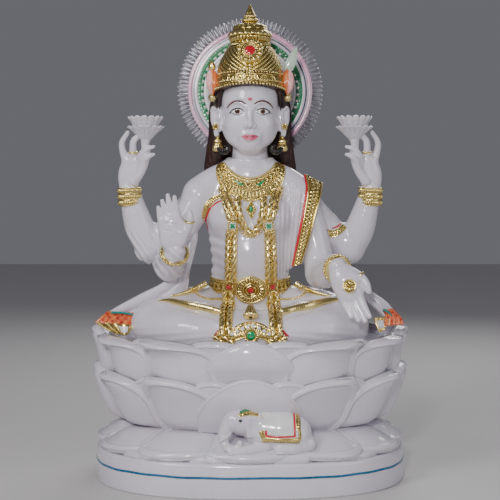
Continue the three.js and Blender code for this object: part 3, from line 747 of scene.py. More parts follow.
# ------------------------------------------------------------------ lap
lap = Clay((-296, -206, SEAT - 4), (296, 92, 378), 2.0)
for side in (-1, 1):
    lap.blend(limb([
        (side * 44, 30, 316, 50), (side * 118, 0, 314, 49), (side * 176, -46, 306, 42),
        (side * 186, -72, 302, 36),
    ]), 10)
    lap.blend(limb([
        (side * 182, -82, 300, 36), (side * 128, -134, 294, 34), (side * 60, -156, 290, 30),
        (side * -14, -166, 286, 24),
    ]), 20)
    lap.blend(ball((side * 110, -56, 288), (106, 100, 40)), 22)
lap.blend(ball((0, -120, 284), (70, 60, 30)), 26)
lap.both(limb([(156, -78, 320, 27), (106, -106, 317, 28), (54, -126, 307, 27), (10, -134, 302, 25)]), 20)


def lap_folds(x, y, z):
    """The cloth drawn over the shins and gathered between them."""
    shin = rise(-y, 70, 120) * rise(-np.abs(x), -150, -90)
    fan = np.arctan2(np.abs(x) - 10, 200 + y)
    low = rise(-z, -306, -286) * window(np.abs(x), 40, 90, 190, 236)
    return 0.8 * shin * np.sin(fan * 34 + z * 0.08) + 0.6 * low * np.sin((z * 1.6 + 0.22 * np.abs(x)) / 3.4)


lap.press(lap_folds)
lap.keep(lambda x, y, z: SEAT + 0.4 - z)
lap_mesh = lap.mesh()
lap_skin = Skin(lap_mesh, body_mesh)
piece("lap", *lap_mesh, MARBLE, ["right_leg", "left_leg"])

# ------------------------------------------------------------------ head
CHIN = span("head")[0][2] + 29
head = Clay((-78, -84, 594), (78, 78, 800), 1.0)
head.blend(ball((0, 6, 724), (56, 64, 70)))
head.blend(ball((0, -8, 692), (49, 53, 60)), 14)
head.blend(limb([(0, 8, 660, 34), (0, 8, 630, 34), (0, 10, 598, 38)]), 12)
head.both(ball((25, -32, 676), (22, 22, 22)), 14)
head.both(limb([(42, -10, 672, 12), (30, -24, 654, 15), (10, -36, 642, 15)]), 14)
head.blend(ball((0, -37, CHIN + 14), (19, 17, 15)), 16)
head.blend(ball((0, -46, CHIN + 12), (11, 9, 9)), 8)
head.carve_both(ball((23.5, -68, 703), (15, 10, 8)), 9)
head.both(ball((23.5, -47.5, 701.5), (13.5, 10.5, 8.4)), 2.5)
head.both(limb([
    (11.5, -54, 701, 1.2), (17, -58, 706.5, 1.9), (25, -58.5, 708, 2.0), (33, -53.5, 705, 1.8),
    (38, -48, 700.5, 1.0),
]), 2.2)
head.both(limb([
    (13, -54.5, 699, 0.8), (20, -57.5, 695.6, 1.2), (28, -56.5, 695.8, 1.2), (36, -50, 699.5, 0.8),
]), 2.2)
head.both(limb([(9, -60.5, 712, 2.2), (20, -60, 719, 2.6), (32, -54, 718, 2.4), (42, -44, 711, 1.6)]), 9)
head.blend(limb([(0, -58.5, 716, 4.0), (0, -62, 700, 4.4), (0, -66.5, 684, 5.0), (0, -69, 675.5, 6.2)]), 7)
head.both(ball((7.6, -61.5, 673.5), (5.0, 7.0, 5.2)), 3.5)
head.carve_both(ball((4.4, -68, 669), (2.2, 3.6, 1.8)), 1.5)
head.blend(ball((0, -53, 653), (20, 9, 15)), 9)
head.both(limb([
    (0, -63.2, 654.6, 2.7), (5, -63.4, 656.2, 2.9), (11, -60.4, 654.4, 2.2), (17.5, -55.2, 652.4, 1.0),
]), 2.4)
head.blend(limb([
    (-15.5, -56.4, 651, 1.0), (-8, -61, 648.2, 3.0), (0, -62.6, 647.4, 3.7), (8, -61, 648.2, 3.0),
    (15.5, -56.4, 651, 1.0),
]), 2.4)
head.carve(limb([
    (-18, -58.5, 652.2, 0.5), (-8, -65, 651.4, 0.9), (0, -66.2, 652, 0.9), (8, -65, 651.4, 0.9),
    (18, -58.5, 652.2, 0.5),
]), 1.2)
head.carve(ball((0, -64.5, 662.5), (2.2, 3, 4.4)), 3)
EAR = 62
head.both(limb([(EAR - 4, 4, 706, 9), (EAR - 2, 2, 690, 8), (EAR - 2, -2, 672, 6)]), 5)
head.both(limb([
    (EAR + 1, -10, 690, 2.4), (EAR + 4, -12, 704, 3.0), (EAR + 9, -6, 713, 3.4), (EAR + 13, 2, 706, 3.4),
    (EAR + 12, 4, 690, 3.2), (EAR + 8, -2, 676, 3.4),
]), 3)
head.both(limb([(EAR + 7, 0, 704, 6), (EAR + 8, 2, 690, 5)]), 4)
head.carve_both(ball((EAR + 7, -12, 699), (4.5, 8, 9)), 3)
head.both(limb([(EAR + 3, -6, 680, 4), (EAR + 4, -5, 670, 5), (EAR + 3, -4, 661, 5)]), 4)
head.carve(limb([(-30, -24, 634, 0.8), (0, -33, 630, 1.2), (30, -24, 634, 0.8)]), 2.5)
head.carve(limb([(-32, -20, 620, 0.8), (0, -31, 616, 1.2), (32, -20, 620, 0.8)]), 2.5)
head_mesh = head.mesh()
head_skin = Skin(head_mesh)
piece("head", *head_mesh, MARBLE, ["head"])

# ------------------------------------------------------------------ throne
PETALS = 12
STEP = 2 * math.pi / PETALS
SQUARENESS = 2.5  # the plinth is a superellipse of this power
PLINTH_HIGH = span("plinth")[1]


def arch(t, shoulder, power):
    """The half width of a petal at height t: full to the shoulder, then closing to a tip. A power of
    1.6 gives a pointed arch, 2.6 a squarer one."""
    k = np.clip((t - shoulder) / (1 - shoulder), 0, 1)
    return np.maximum((1 - k**power) ** (1 / power), 0.004)


def petal(
    angle, half, levels, bulge, thick, rim=(4.0, 9.0), shoulder=0.3, power=1.6, curl=4.0, lean=0.0,
    square=0.0, start=-0.1, rows=50, columns=48,
):
    """A thick petal on a bowl. levels are (z, half width, half depth of the bowl), rim is (height,
    width) of its raised edge. lean moves its tip sideways, 1 to its very edge. square pushes the
    corners of the bowl out to the plinth's outline. The bulge begins at the height start."""
    t = 1 - (1 - np.linspace(0, 1, rows)) ** 1.35
    s = np.sin(np.linspace(-1, 1, columns) * np.pi / 2 * 0.98) / np.sin(np.pi / 2 * 0.98)
    levels = np.asarray(levels, float)
    height = np.insert(levels, 0, np.linspace(0, 300, len(levels)), 1)
    z, a, b = (np.interp(t, np.linspace(0, 1, 60), smooth_line(height, 60)[:, k]) for k in (1, 2, 3))
    wide = half * arch(t, shoulder, power)
    turn = angle + lean * (half - wide)[:, None] + s[None, :] * wide[:, None]
    reach = math.hypot(levels[-1][1] * math.cos(angle), levels[-1][2] * math.sin(angle))
    flat_x, flat_z = s[None, :] * wide[:, None] * reach, np.hypot(z - z[0], a - a[0])
    outline = np.concatenate([
        np.stack([-wide * reach, flat_z], 1), np.stack([wide * reach, flat_z], 1)[::-1],
    ])
    fine = np.concatenate([outline[:-1] + (outline[1:] - outline[:-1]) * k for k in (0, 0.34, 0.67)])
    spot = np.stack([flat_x, np.broadcast_to(flat_z[:, None], flat_x.shape)], 2)
    edge = np.sqrt(((spot[:, :, None] - fine[None, None]) ** 2).sum(3).min(2))
    crest, broad = rim
    lip = crest * rise(edge, 0, 2.4) * (1 - rise(edge, broad * 0.8, broad))
    swell = (
        bulge * (1 - np.abs(s[None, :]) ** 2) * np.minimum(1, wide[:, None] / half * 1.3)
        * rise(t, start, start + 0.4)[:, None]
    )
    out = swell + lip + curl * rise(t, 0.45, 1)[:, None] ** 2 - 2.0 * (1 - rise(edge, 0, 2.4))
    depth = np.interp(t, [0, 0.6, 1], [thick, thick * 0.8, thick * 0.5])[:, None]
    depth = depth * (1 - 0.3 * (1 - rise(edge, 0, 6)))
    steep = np.hypot(np.gradient(z), np.gradient(a))
    outward = np.abs(np.gradient(z) / steep)[:, None]
    up = (np.gradient(a) * np.sign(z[0] - z[-1]) / steep)[:, None]
    round_to_square = np.abs(np.sin(turn)) ** SQUARENESS + np.abs(np.cos(turn)) ** SQUARENESS
    corner = 1 + square * t[:, None] ** 0.7 * (round_to_square ** (-1 / SQUARENESS) - 1)

    def place(offset):
        return np.stack([
            (a[:, None] + offset * outward) * corner * np.sin(turn),
            -(b[:, None] + offset * outward) * corner * np.cos(turn),
            z[:, None] + offset * up,
        ], 2)

    front, back = place(out), place(np.minimum(out - depth, out - 4))
    return rings([np.concatenate([f, g[::-1]]) for f, g in zip(front, back)])


def bowl(levels, sides=160):
    """Closed elliptical sections: levels are (z, half width, half depth)."""
    angle = circle(sides)
    return rings([
        np.stack([a * np.sin(angle), -b * np.cos(angle), np.full(sides, z)], 1) for z, a, b in levels
    ])


def oval(a, b, angle):
    """A point on the plinth's outline."""
    c, s = np.cos(angle), np.sin(angle)
    return np.sign(s) * a * np.abs(s) ** (2 / SQUARENESS), -np.sign(c) * b * np.abs(c) ** (2 / SQUARENESS)


WAIST = span("lotus_core")[0][2]
LOWER_TIP, UPPER_TIP = span("lower_petal_ring")[1][2], span("upper_petal_ring")[1][2]

CROWDING = 0.10  # how much closer the petals stand at the front than at the back, in radians
lower, upper, leaves = [bowl([
    (WAIST, 224, 148), (130, 252, 172), (170, 274, 190), (196, 276, 192),
])], [], []
for k in range(PETALS):
    angle, between = (spot - CROWDING * math.sin(spot) for spot in (k * STEP, (k + 0.5) * STEP))
    side = 0 if k in (0, PETALS // 2) else math.copysign(1, math.sin(angle))
    tall = 1 if k in (3, PETALS - 3) else 0
    rim, out, low_bulge = ((1.6, 6.0), 12, 5) if k == 0 else (
        (4.5, 10.0) if tall else (6.5, 13.0), 0, 11 if k in (1, PETALS - 1) else 20,
    )
    lift, start, high_bulge = (8, 0.05, 13) if k == 0 else (0, -0.1, 20)
    curl = 0 if k == 0 else 8 if tall else 14
    low_half, high_half = (0.40, 0.305) if k == 0 else (0.285, 0.275)
    low_arch, high_arch = ((0.04, 1.75), (0.2, 1.6)) if k == 0 else ((0.38, 2.3), (0.34, 2.5))
    lower.append(petal(
        between, 0.21, [(WAIST, 226, 146), (140, 260, 176), (176, 278, 198), (LOWER_TIP - 5, 286, 208)], 8,
        20, (3.0, 8.0), 0.45, 2.0, 4,
    ))
    lower.append(petal(
        angle, low_half,
        [
            (WAIST, 232 + out, 152 + out), (138, 262 + out, 179 + out), (176, 278 + out, 201 + out),
            (LOWER_TIP + 7 * tall, 284 + out / 2, 209 + out / 2),
        ],
        low_bulge, 20, rim, *low_arch, curl, side * 0.7,
    ))
    upper.append(petal(
        between, 0.22, [(186, 266, 192), (235, 277, 201), (262, 282, 205), (UPPER_TIP - 2, 288, 210)], 8,
        18, (3.0, 8.0), 0.45, 2.0, 4,
    ))
    upper.append(petal(
        angle, high_half,
        [
            (184, 268, 195), (230, 276 + lift, 203 + lift), (258, 281 + lift, 208 + lift),
            (UPPER_TIP + 11 * tall, 285 + lift / 2, 212 + lift / 2),
        ],
        high_bulge, 20, rim, *high_arch, curl, side * (1 - 0.6 * tall), start=start,
    ))
    leaves.append(petal(
        between, 0.24, [(WAIST, 222, 142), (88, 254, 174), (73, 279, 204), (65.5, 294, 225)], 5, 12,
        (3.0, 9.0), 0.4, 2.2, 0, 0, 1.0, rows=34, columns=34,
    ))
    leaves.append(petal(
        angle, 0.36 if k == 0 else 0.30,
        [(WAIST, 226, 146), (94, 256, 178), (78, 283, 210), (66.5, 295, 229)], 9, 12, (4.0, 10.0), 0.4, 2.0,
        0, side * 0.5, 1.0, rows=36, columns=38,
    ))
leaves.append(bowl([(64.4, 285, 213), (78, 262, 190), (94, 240, 162), (WAIST, 226, 146)]))
seat_line = [
    (z, a, b) for z, a,
    b in ((188, 270, 188), (230, 274, 194), (256, 276, 198), (SEAT - 2, 274, 198), (SEAT, 270, 192))
]
piece("lower_petals", *join(lower), MARBLE, ["lower_petal_ring"])
piece("upper_petals", *join(upper), MARBLE, ["upper_petal_ring"])
piece("base_leaves", *join(leaves), MARBLE, ["base_lotus"])
piece("lotus_seat", *bowl(seat_line), MARBLE, ["lotus_core"])

edge_angle = circle(240)
plinth_rings = []
for z, inset in ((0, 3), (1, 1), (4, 0), (30, 0), (56, 0), (60, 0.8), (62.6, 2.6), (63.8, 5.4), (64, 9)):
    x, y = oval(PLINTH_HIGH[0] - inset, PLINTH_HIGH[1] - inset, edge_angle)
    plinth_rings.append(np.stack([x, y, np.full(x.size, float(z))], 1))
piece("plinth_block", *rings(plinth_rings), MARBLE, ["plinth"])
line_rings = []
for z, out in ((36.6, -1.0), (36.8, 0.5), (37.4, 0.8), (40.4, 0.8), (41.0, 0.5), (41.2, -1.0)):
    wave = 0.35 * np.sin(edge_angle * 23) + 0.3 * np.sin(edge_angle * 9 + 1)
    x, y = oval(PLINTH_HIGH[0] + out, PLINTH_HIGH[1] + out, edge_angle)
    line_rings.append(np.stack([x, y, z + wave], 1))
piece("plinth_line", *rings(line_rings), BLUE)

# ------------------------------------------------------------------ elephant
beast = Clay((-92, -232, 62), (124, -140, 172), 1.0)
beast.blend(ball((56, -192, 117), (50, 34, 36)))
beast.blend(ball((22, -192, 120), (34, 30, 34)), 10)
beast.blend(ball((86, -194, 108), (26, 30, 31)), 10)
beast.blend(ball((-14, -196, 136), (30, 26, 26)), 8)
beast.blend(ball((-30, -206, 142), (13, 14, 12)), 8)
beast.blend(limb([
    (-36, -206, 134, 15), (-46, -212, 116, 11), (-45, -216, 98, 8.5), (-34, -219, 90, 7),
    (-22, -220, 93, 6), (-18, -220, 101, 5),
]), 5)
beast.blend(limb([(28, -208, 93, 11), (-4, -217, 87, 9.5), (-33, -221, 85, 8)]), 3)
beast.blend(limb([(104, -202, 96, 15), (80, -210, 90, 12), (52, -216, 87, 9.5)]), 6)
beast.blend(limb([(108, -190, 112, 3.5), (111, -196, 98, 3), (108, -204, 88, 3.5)]), 4)
beast.blend(plate((8, -216, 129), (14, 3.2, 19), ((0.97, 0.24, 0), (-0.24, 0.97, 0.0), (0, 0, 1)), 3), 3)
beast.carve(ball((8, -223, 130), (9, 5, 13)), 3)
beast.blend(limb([(-36, -218, 116, 3.2), (-50, -224, 106, 2.4), (-56, -226, 104, 1.4)]), 2)
beast.blend(ball((-17, -219, 141), (3.6, 2.4, 2.8)), 1)
for toe in (-38, -33, -28):
    beast.blend(ball((toe, -227, 82.5), (2.4, 2, 2.2)), 1)
    beast.blend(ball((toe + 86, -225, 83), (2.4, 2, 2.2)), 1)
beast.press(lambda x, y, z: 0.5 * rise(-x, 26, 40) * np.sin(z / 1.7) * rise(-z, -126, -110))
beast.keep(lambda x, y, z: 78.2 - z)
beast_mesh = beast.mesh()
beast_skin = Skin(beast_mesh)
piece("elephant_carving", *beast_mesh, MARBLE, ["elephant"])
slab_low, slab_high = span("elephant_slab")
rough = Clay((-94, -236, 58), (120, -140, 86), 1.2)
rough.blend(plate(
    (slab_low + slab_high) / 2 + (0, 4, 0), (slab_high - slab_low) / 2 + (-4, 0, 0), np.eye(3), 7,
))
rough.blend(limb([
    (slab_low[0] + 16, -204, 70, 10), (0, -211, 71, 9), (slab_high[0] - 18, -208, 70, 10),
]), 8)
rough.press(lambda x, y, z: 0.5 * np.sin(x / 9.0) * np.sin(z / 5.0 + 1))
piece("elephant_bed", *rough.mesh(), MARBLE, ["elephant_slab"])

s, t = np.meshgrid(np.linspace(-1, 1, 44), np.linspace(0, 1, 34))
cloth_x = 51 + 36 * s * (1 - 0.06 * t)
cloth_z = 153.5 - 47 * t - 3.5 * s**2
piece(
    "blanket", *patch(beast_skin, cloth_x, cloth_z, 2.0 + 0.5 * np.sin(s * 3) * t), WHITE,
    ["elephant_blanket"],
)


def band(s, u):
    """A gilded border: two raised edges with a row of bosses between them."""
    return (
        0.6 + 1.5 * window(np.abs(s), 0.55, 0.8, 0.9, 1)
        + 1.5 * bumps(u / 5.5) * rise(-np.abs(s), -0.6, -0.3)
    )


blanket_skin = Skin(beast_mesh, patch(beast_skin, cloth_x, cloth_z, np.full(s.shape, 1.9)))
border = [[(19, 124), (24, 112), (29, 107)], [(22, 108), (51, 106), (88, 107)], [(86.5, 106), (85.5, 152)]]
piece("blanket_border", *join([ribbon(blanket_skin, line, 9.5, band, 11) for line in border]), GOLD)
inner = [[(28, 124), (29, 114)], [(28, 114.5), (52, 113), (80, 114)], [(79.5, 113), (78.5, 152)]]
piece("blanket_red", *join([
    ribbon(blanket_skin, line, 4.2, lambda s, u: 1.1 * (1 - s**4), 7)
    for line in inner
]), RED)
piece("head_band", *ribbon(
    beast_skin, [(-20, 149), (-8, 152.5), (6, 151), (18, 147), (25, 144)], (6, 10, 10, 6, 4), band,
), GOLD)
piece("head_band_jewel", *ribbon(
    beast_skin, [(-18, 154), (-6, 157), (6, 155.5), (16, 151.5)], (4, 6, 6, 4),
    lambda s, u: 1.2 + bumps(u / 7),
), GREEN)
eye_at, eye_face = beast_skin.front(-17, 141)
piece("elephant_eye", *disc(
    eye_at + eye_face, eye_face, 2.9, lambda r, a: 0.8 - 0.1 * r**2, rows=5, sides=16,
), BLACK)

# ------------------------------------------------------------------ hands
def mirrored(points, side):
    """Control points written for the right side, taken to a side: -1 is the right, 1 the left."""
    return [(-side * p[0], *p[1:]) for p in points]


FACING = (np.array([0.0, 1.0, 0.0]), 1.6)


def rear_hand(side):
    """A raised hand that holds a flower between its first two fingers and the thumb."""
    low, high = span(f"rear_{'right' if side < 0 else 'left'}_hand")
    clay = Clay((low[0] - 14, -48, 536), (high[0] + 14, 44, 684), 0.9)
    m = lambda points: mirrored(points, side)
    clay.blend(limb(m([
        (-237, 9, 540, 20), (-238, 8, 560, 19), (-236, 4, 584, 22), (-229, 0, 606, 20),
    ]), flat=FACING))
    clay.blend(limb(m([
        (-240, 2, 604, 9), (-248, -1, 628, 6.8), (-249, -5, 646, 5.8), (-238, -9, 664, 4.2),
    ])), 5)
    clay.blend(limb(m([
        (-229, -2, 608, 9), (-228, -8, 630, 7.0), (-226, -12, 648, 6.2), (-215, -14, 659, 4.6),
    ])), 3.0)
    clay.blend(limb(m([
        (-218, -2, 604, 8.4), (-211, -17, 620, 7.0), (-200, -24, 632, 5.6), (-186, -26, 636, 3.0),
    ])), 3.0)
    clay.blend(limb(m([
        (-216, -4, 594, 8.0), (-207, -19, 608, 6.8), (-195, -28, 618, 5.4), (-185.5, -28, 621, 2.8),
    ])), 2.6)
    clay.blend(limb(m([
        (-226, -4, 570, 10), (-210, -13, 592, 8.2), (-202, -18, 612, 7.2), (-198, -16, 634, 5.6),
    ])), 4.5)
    clay.blend(limb(m([(-210, -6, 612, 7), (-205, -10, 632, 6.4), (-203, -12, 650, 9)])), 4)
    clay.carve(limb(m([(-232, -20, 568, 0.8), (-222, -20, 588, 2.0), (-215, -21, 606, 1.4)])), 4)
    for tip in ((-237, -12.5, 661), (-214, -17.5, 656)):
        clay.carve(limb(m([(*tip, 1.4), (tip[0] - 2, tip[1], tip[2] - 4, 1.2)])), 1)
    return clay.mesh()


FLOWER_PETALS = 14
FLOWER_SCALE = 1 / 8  # the flower's petals are worked eight times larger, with the throne's own tool


def flower(centre):
    """A lotus held by its stem: an upright cup of petals over a tier that curls outwards."""
    parts = []
    tier = [(40, 80, 80), (170, 160, 160), (290, 216, 216), (372, 262, 262)]
    lip = [(10, 70, 70), (90, 140, 140), (170, 222, 222), (226, 274, 274)]
    for k in range(FLOWER_PETALS):
        angle = 2 * math.pi * k / FLOWER_PETALS
        parts.append(petal(angle, 0.27, tier, 14, 30, (6, 14), 0.6, 2.4, 14, rows=18, columns=14))
        parts.append(petal(
            angle + math.pi / FLOWER_PETALS, 0.27, lip, 14, 28, (6, 14), 0.5, 2.2, 16, rows=16, columns=14,
        ))
    parts.append(bowl([
        (-90, 34, 34), (-60, 52, 52), (20, 84, 84), (150, 140, 140), (320, 196, 196), (332, 180, 180),
        (320, 60, 60),
    ], 40))
    points, faces = join(parts)
    return points * FLOWER_SCALE + centre, faces


for side, name in ((-1, "right"), (1, "left")):
    piece(f"rear_{name}_palm", *rear_hand(side), MARBLE, [f"rear_{name}_hand"])
    piece(f"{name}_flower", *flower((side * 202.5, -13, 649)), MARBLE, [f"{name}_lotus_flower"])

blessing = Clay((-188, -172, 414), (-92, -100, 556), 0.9)
blessing.blend(limb([
    (-140, -118, 424, 20), (-139, -132, 440, 19), (-142, -137, 466, 25), (-144, -138, 488, 24),
], flat=FACING))
blessing.blend(limb([(-159, -138, 482, 8), (-164.5, -140, 502, 6.0), (-168, -142.5, 519, 3.4)]), 3)
blessing.blend(limb([(-151, -139, 488, 8.2), (-156, -141, 511, 6.5), (-160.5, -144, 531, 3.6)]), 1.8)
blessing.blend(limb([(-142, -139, 490, 8.4), (-146.5, -141, 517, 6.7), (-150.5, -144.5, 541, 3.8)]), 1.8)
blessing.blend(limb([(-132, -139, 488, 8.2), (-135.5, -141, 515, 6.6), (-138, -144.5, 538, 3.7)]), 1.8)
blessing.blend(limb([
    (-126, -136, 462, 11), (-115, -142, 480, 9), (-109.5, -146, 496, 7.4), (-111, -147, 511, 5.2),
]), 7)
blessing.blend(ball((-127, -146, 466), (12, 7, 19)), 5)
blessing.blend(ball((-154, -145, 464), (10, 6, 19)), 5)
for low_z, high_z, bend in ((490, 487, -149), (478, 470, -150), (452, 488, -152)):
    blessing.carve(limb([
        (-160, bend, low_z, 0.5), (-146, bend - 2, (low_z + high_z) / 2 + 2, 0.9),
        (-130, bend - 2, high_z, 0.5),
    ]), 2.4)
piece("front_right_palm", *blessing.mesh(), MARBLE, ["front_right_hand"])

giving = Clay((128, -188, 296), (238, -96, 430), 0.9)
giving.blend(limb([
    (160, -118, 412, 19), (163, -130, 404, 18), (174, -139, 384, 26), (184, -146, 362, 25),
], flat=FACING))
giving.blend(limb([(197, -148, 362, 8.6), (207, -155, 340, 7.2), (217, -163, 321, 4.6)]), 3)
giving.blend(limb([(188.5, -148, 358, 8.8), (199, -157, 334, 7.2), (209, -166, 313, 4.6)]), 2)
giving.blend(limb([(179, -147, 356, 8.6), (188, -156, 334, 7.0), (197, -165, 314, 4.4)]), 2)
giving.blend(limb([(169, -145, 358, 8.2), (176, -153, 338, 6.6), (184, -161, 320, 4.2)]), 2)
giving.blend(limb([
    (182, -134, 400, 11), (200, -142, 393, 9), (212, -149, 380, 7.6), (217, -153, 366, 5.4),
]), 7)
giving.blend(ball((190, -150, 388), (13, 7, 12)), 5)
giving.blend(ball((165, -146, 376), (9, 6, 18)), 5)
giving_mesh = giving.mesh()
piece("front_left_palm", *giving_mesh, MARBLE, ["front_left_hand"])


# One row of a bangle: (share of its half width, height over the limb).
ROW_SECTION = [
    (-1, 0.4), (-0.86, 1.7), (-0.7, 0.5), (-0.45, 2.0), (0, 3.0), (0.45, 2.0), (0.7, 0.5), (0.86, 1.7),
    (1, 0.4),
]


def bangle(at, axis, radius, width, rows, count=40, beads=0):
    """Rows of beads between plain wires round a limb, with one row of full round beads if asked."""
    profile = [(radius * 0.6, -width / 2)]
    for k in range(rows):
        base = -width / 2 + width * (k + 0.5) / rows
        half = width / rows / 2
        profile += [(radius + high, base + share * half) for share, high in ROW_SECTION]
    profile.append((radius * 0.6, width / 2))

    def relief(height, angle):
        spot = ((height + width / 2) / width * rows) % 1 * 2 - 1
        return -2.2 * (1 - studs(angle, count, 0.8)) * (np.abs(spot) < 0.5)

    axis = np.asarray(axis, float) / np.linalg.norm(axis)
    u = np.cross(axis, (1, 0, 0))
    u /= np.linalg.norm(u)
    v = np.cross(axis, u)
    around = [2 * math.pi * k / max(beads, 1) for k in range(beads)]
    pearls = [
        bead(np.asarray(at) + (radius + 1.6) * (math.cos(a) * u + math.sin(a) * v), 3.5)
        for a in around
    ]
    return join([turned(profile, at, axis, count * 6, relief)] + pearls)


for side, name in ((-1, "right"), (1, "left")):
    piece(
        f"rear_{name}_bangles", *bangle((side * 236.5, 9, 541), (side * 0.03, -0.08, 1), 22.0, 35, 3), GOLD,
        [f"rear_{name}_bracelet"],
    )
piece(
    "front_right_bangle", *bangle((-139.5, -126, 434), (0.14, -0.80, 0.58), 23.5, 12, 1, 30, 22), GOLD,
    ["front_right_bracelet"],
)
piece(
    "front_left_bangle", *bangle((161, -124, 406), (0.26, -0.9, -0.25), 23.5, 12, 1, 30, 22), GOLD,
    ["front_left_bracelet"],
)


def ring(at, axis, radius):
    profile = [
        (radius * 0.5, -2.4), (radius, -2.4), (radius + 1.8, -1.4), (radius + 2.2, 0), (radius + 1.8, 1.4),
        (radius, 2.4), (radius * 0.5, 2.4),
    ]
    return turned(profile, at, axis, 48, lambda height, angle: -0.8 * (1 - studs(angle, 8)))


finger_rings = [
    ring((-110.5, -145.5, 493), (0.1, -0.3, 1), 7.8), ring((203, -144, 391.5), (0.8, -0.4, -0.5), 9.0),
    ring((-228, -7, 626), (0, -0.2, 1), 7.4), ring((228, -7, 626), (0, -0.2, 1), 7.4),
]
piece("finger_rings", *join(finger_rings), GOLD)
palm_skin = Skin(giving_mesh)
coin_at, coin_face = palm_skin.front(*((span("palm_coin")[0] + span("palm_coin")[1]) / 2)[[0, 2]])
coin = disc(
    coin_at + coin_face, coin_face, 12.8,
    lambda r, a: 1.6 + 1.4 * rise(r, 9.8, 10.8) + 1.3 * lobes(8, a) * rise(-r, -8.5, -7.5)
    + 1.6 * rise(-r, -3, -2),
    edge=lambda a: 1 - 0.03 * np.abs(np.cos(12 * a)), back=2.5,
)
piece("coin", *coin, GOLD, ["palm_coin"])

# ------------------------------------------------------------------ hair
locks = Clay((-92, -44, 560), (92, 76, 770), 1.2)
locks.both(limb([
    (50, 22, 756, 14), (60, 26, 730, 17), (63, 28, 700, 18), (62, 32, 660, 20), (68, 37, 620, 20),
    (79, 43, 590, 14),
]))
locks.blend(limb([(0, 34, 750, 46), (0, 38, 700, 46), (0, 42, 640, 42), (0, 48, 590, 30)]), 16)
locks.both(limb([
    (54, -14, 752, 6), (56.5, -13, 738, 5.5), (57.5, -11, 724, 4), (57.5, -9, 710, 2.2),
    (56.5, -9, 700, 1.0),
]), 3)


def strands(x, y, z):
    around = np.arctan2(x, y - 60 + 0 * z)
    wave = 3.0 * np.sin(z / 21.0)
    return 1.3 * np.abs(np.sin((around * 60 + wave) * 0.5)) ** 0.7 - 0.5


locks.press(strands)
locks.carve(ball((0, -24, 690), (61.5, 60, 100)), 2)
locks.keep(lambda x, y, z: z - 766)
curls = Clay((-70, -40, 612), (70, 4, 646), 1.0)
curls.both(limb([
    (60, -14, 632, 4.5), (52, -22, 626, 6.0), (44, -27, 629, 5.2), (43, -27, 635, 3.6), (48, -26, 637, 2.4),
]))
curls.press(lambda x, y, z: 0.5 * np.sin(np.abs(x) * 1.3 + z))
piece("black_curls", *curls.mesh(), BLACK)
piece("hair_locks", *locks.mesh(), HAIR, ["hair"])


# ------------------------------------------------------------------ shawl
def cloth(edges, folds, deep, thick=5.0, rows=70, columns=40):
    """A carved cloth between two edge lines of (x, y, z) points, with folds running along it."""
    left, right = (smooth_line(e, rows) for e in edges)
    k = np.linspace(0, 1, columns)
    base = left[:, None] * (1 - k[None, :, None]) + right[:, None] * k[None, :, None]
    normal = np.cross(np.gradient(base, axis=0), np.gradient(base, axis=1))
    normal = soften(normal / np.linalg.norm(normal, axis=2, keepdims=True), 4)
    normal *= -np.sign(normal[..., 1:2].mean())
    t = np.linspace(0, 1, rows)[:, None]
    height = deep * (bumps(k[None, :] * folds + 0.35 * t * folds * 0.3, 0.8) - 0.5) * (0.7 + 0.3 * t)
    edge = np.minimum(k, 1 - k)[None, :] * columns
    return slab(
        base, normal, height + thick * 0.5 - 1.6 * (1 - rise(edge, 0, 2)), thick * 0.5,
    ), (base, normal, height + thick * 0.5)


right_cloth, _ = cloth(
    (
        [
            (-128, -8, 506), (-140, -22, 452), (-148, -30, 404), (-166, -52, 376), (-212, -62, 352),
            (-250, -70, 332), (-276, -80, 316),
        ],
        [
            (-108, -6, 508), (-101, -18, 466), (-106, -26, 438), (-116, -34, 398), (-127, -36, 352),
            (-180, -50, 316), (-226, -66, 292),
        ],
    ),
    2, 5.0, 8.0,
)
left_cloth, _ = cloth(
    ([(165, -50, 372), (186, -74, 362), (216, -82, 348), (236, -86, 330), (252, -92, 312)],
     [(186, -34, 378), (206, -50, 370), (231, -62, 356), (256, -72, 340), (268, -80, 327)]), 3, 5.0, 8.0)
piece("shawl_right", *right_cloth, MARBLE, ["scarf_right"])
piece("shawl_left", *left_cloth, MARBLE, ["scarf_left"])

right_end, (end_base, end_normal, end_height) = cloth(
    (
        [(-268, -82, 323), (-280, -86, 314), (-292, -90, 302)],
        [(-219, -72, 318), (-221, -78, 306), (-225, -84, 292)],
    ),
    5, 4.0, 6, 24, 50,
)
piece("shawl_right_end", *right_end, ORANGE, ["scarf_right_end"])
left_end, (left_base, left_normal, left_height) = cloth(
    (
        [(252, -92, 326), (253, -96, 312), (250, -98, 296)],
        [(270, -84, 326), (284, -90, 312), (289, -94, 299)],
    ),
    4, 4.0, 6, 30, 36,
)
piece("shawl_left_end", *left_end, ORANGE, ["scarf_left_end"])
fringe_right, (fringe_base, fringe_normal, fringe_height) = cloth(
    (
        [(-293, -90, 303), (-276, -93, 292), (-252, -95, 281)],
        [(-223, -85, 296), (-225, -89, 287), (-232, -93, 278)],
    ),
    4, 2.4, 6, 26, 80,
)
fringe_left, (tip_base, tip_normal, tip_height) = cloth(
    (
        [(233, -93, 311), (236, -97, 298), (242, -100, 285)],
        [(254, -93, 312), (255, -97, 300), (252, -99, 288)],
    ),
    3, 2.0, 6, 24, 46,
)
piece("shawl_fringes", *join([fringe_right, fringe_left]), GOLD)


def berries(base, normal, height, spots, radius=2.6):
    """Small painted beads on a cloth, at (row share, column share)."""
    rows, columns = height.shape
    found = []
    for a, b in spots:
        i, j = int(a * (rows - 1)), int(b * (columns - 1))
        found.append(bead(base[i, j] + normal[i, j] * (height[i, j] + radius * 0.1), radius))
    return join(found)




def inlay(base, normal, height, low, high):
    """A raised stripe of a fringe, between two of its columns."""
    part = np.s_[5:-5, low:high]
    return slab(base[part], normal[part], height[part] + 0.9, 2.0)


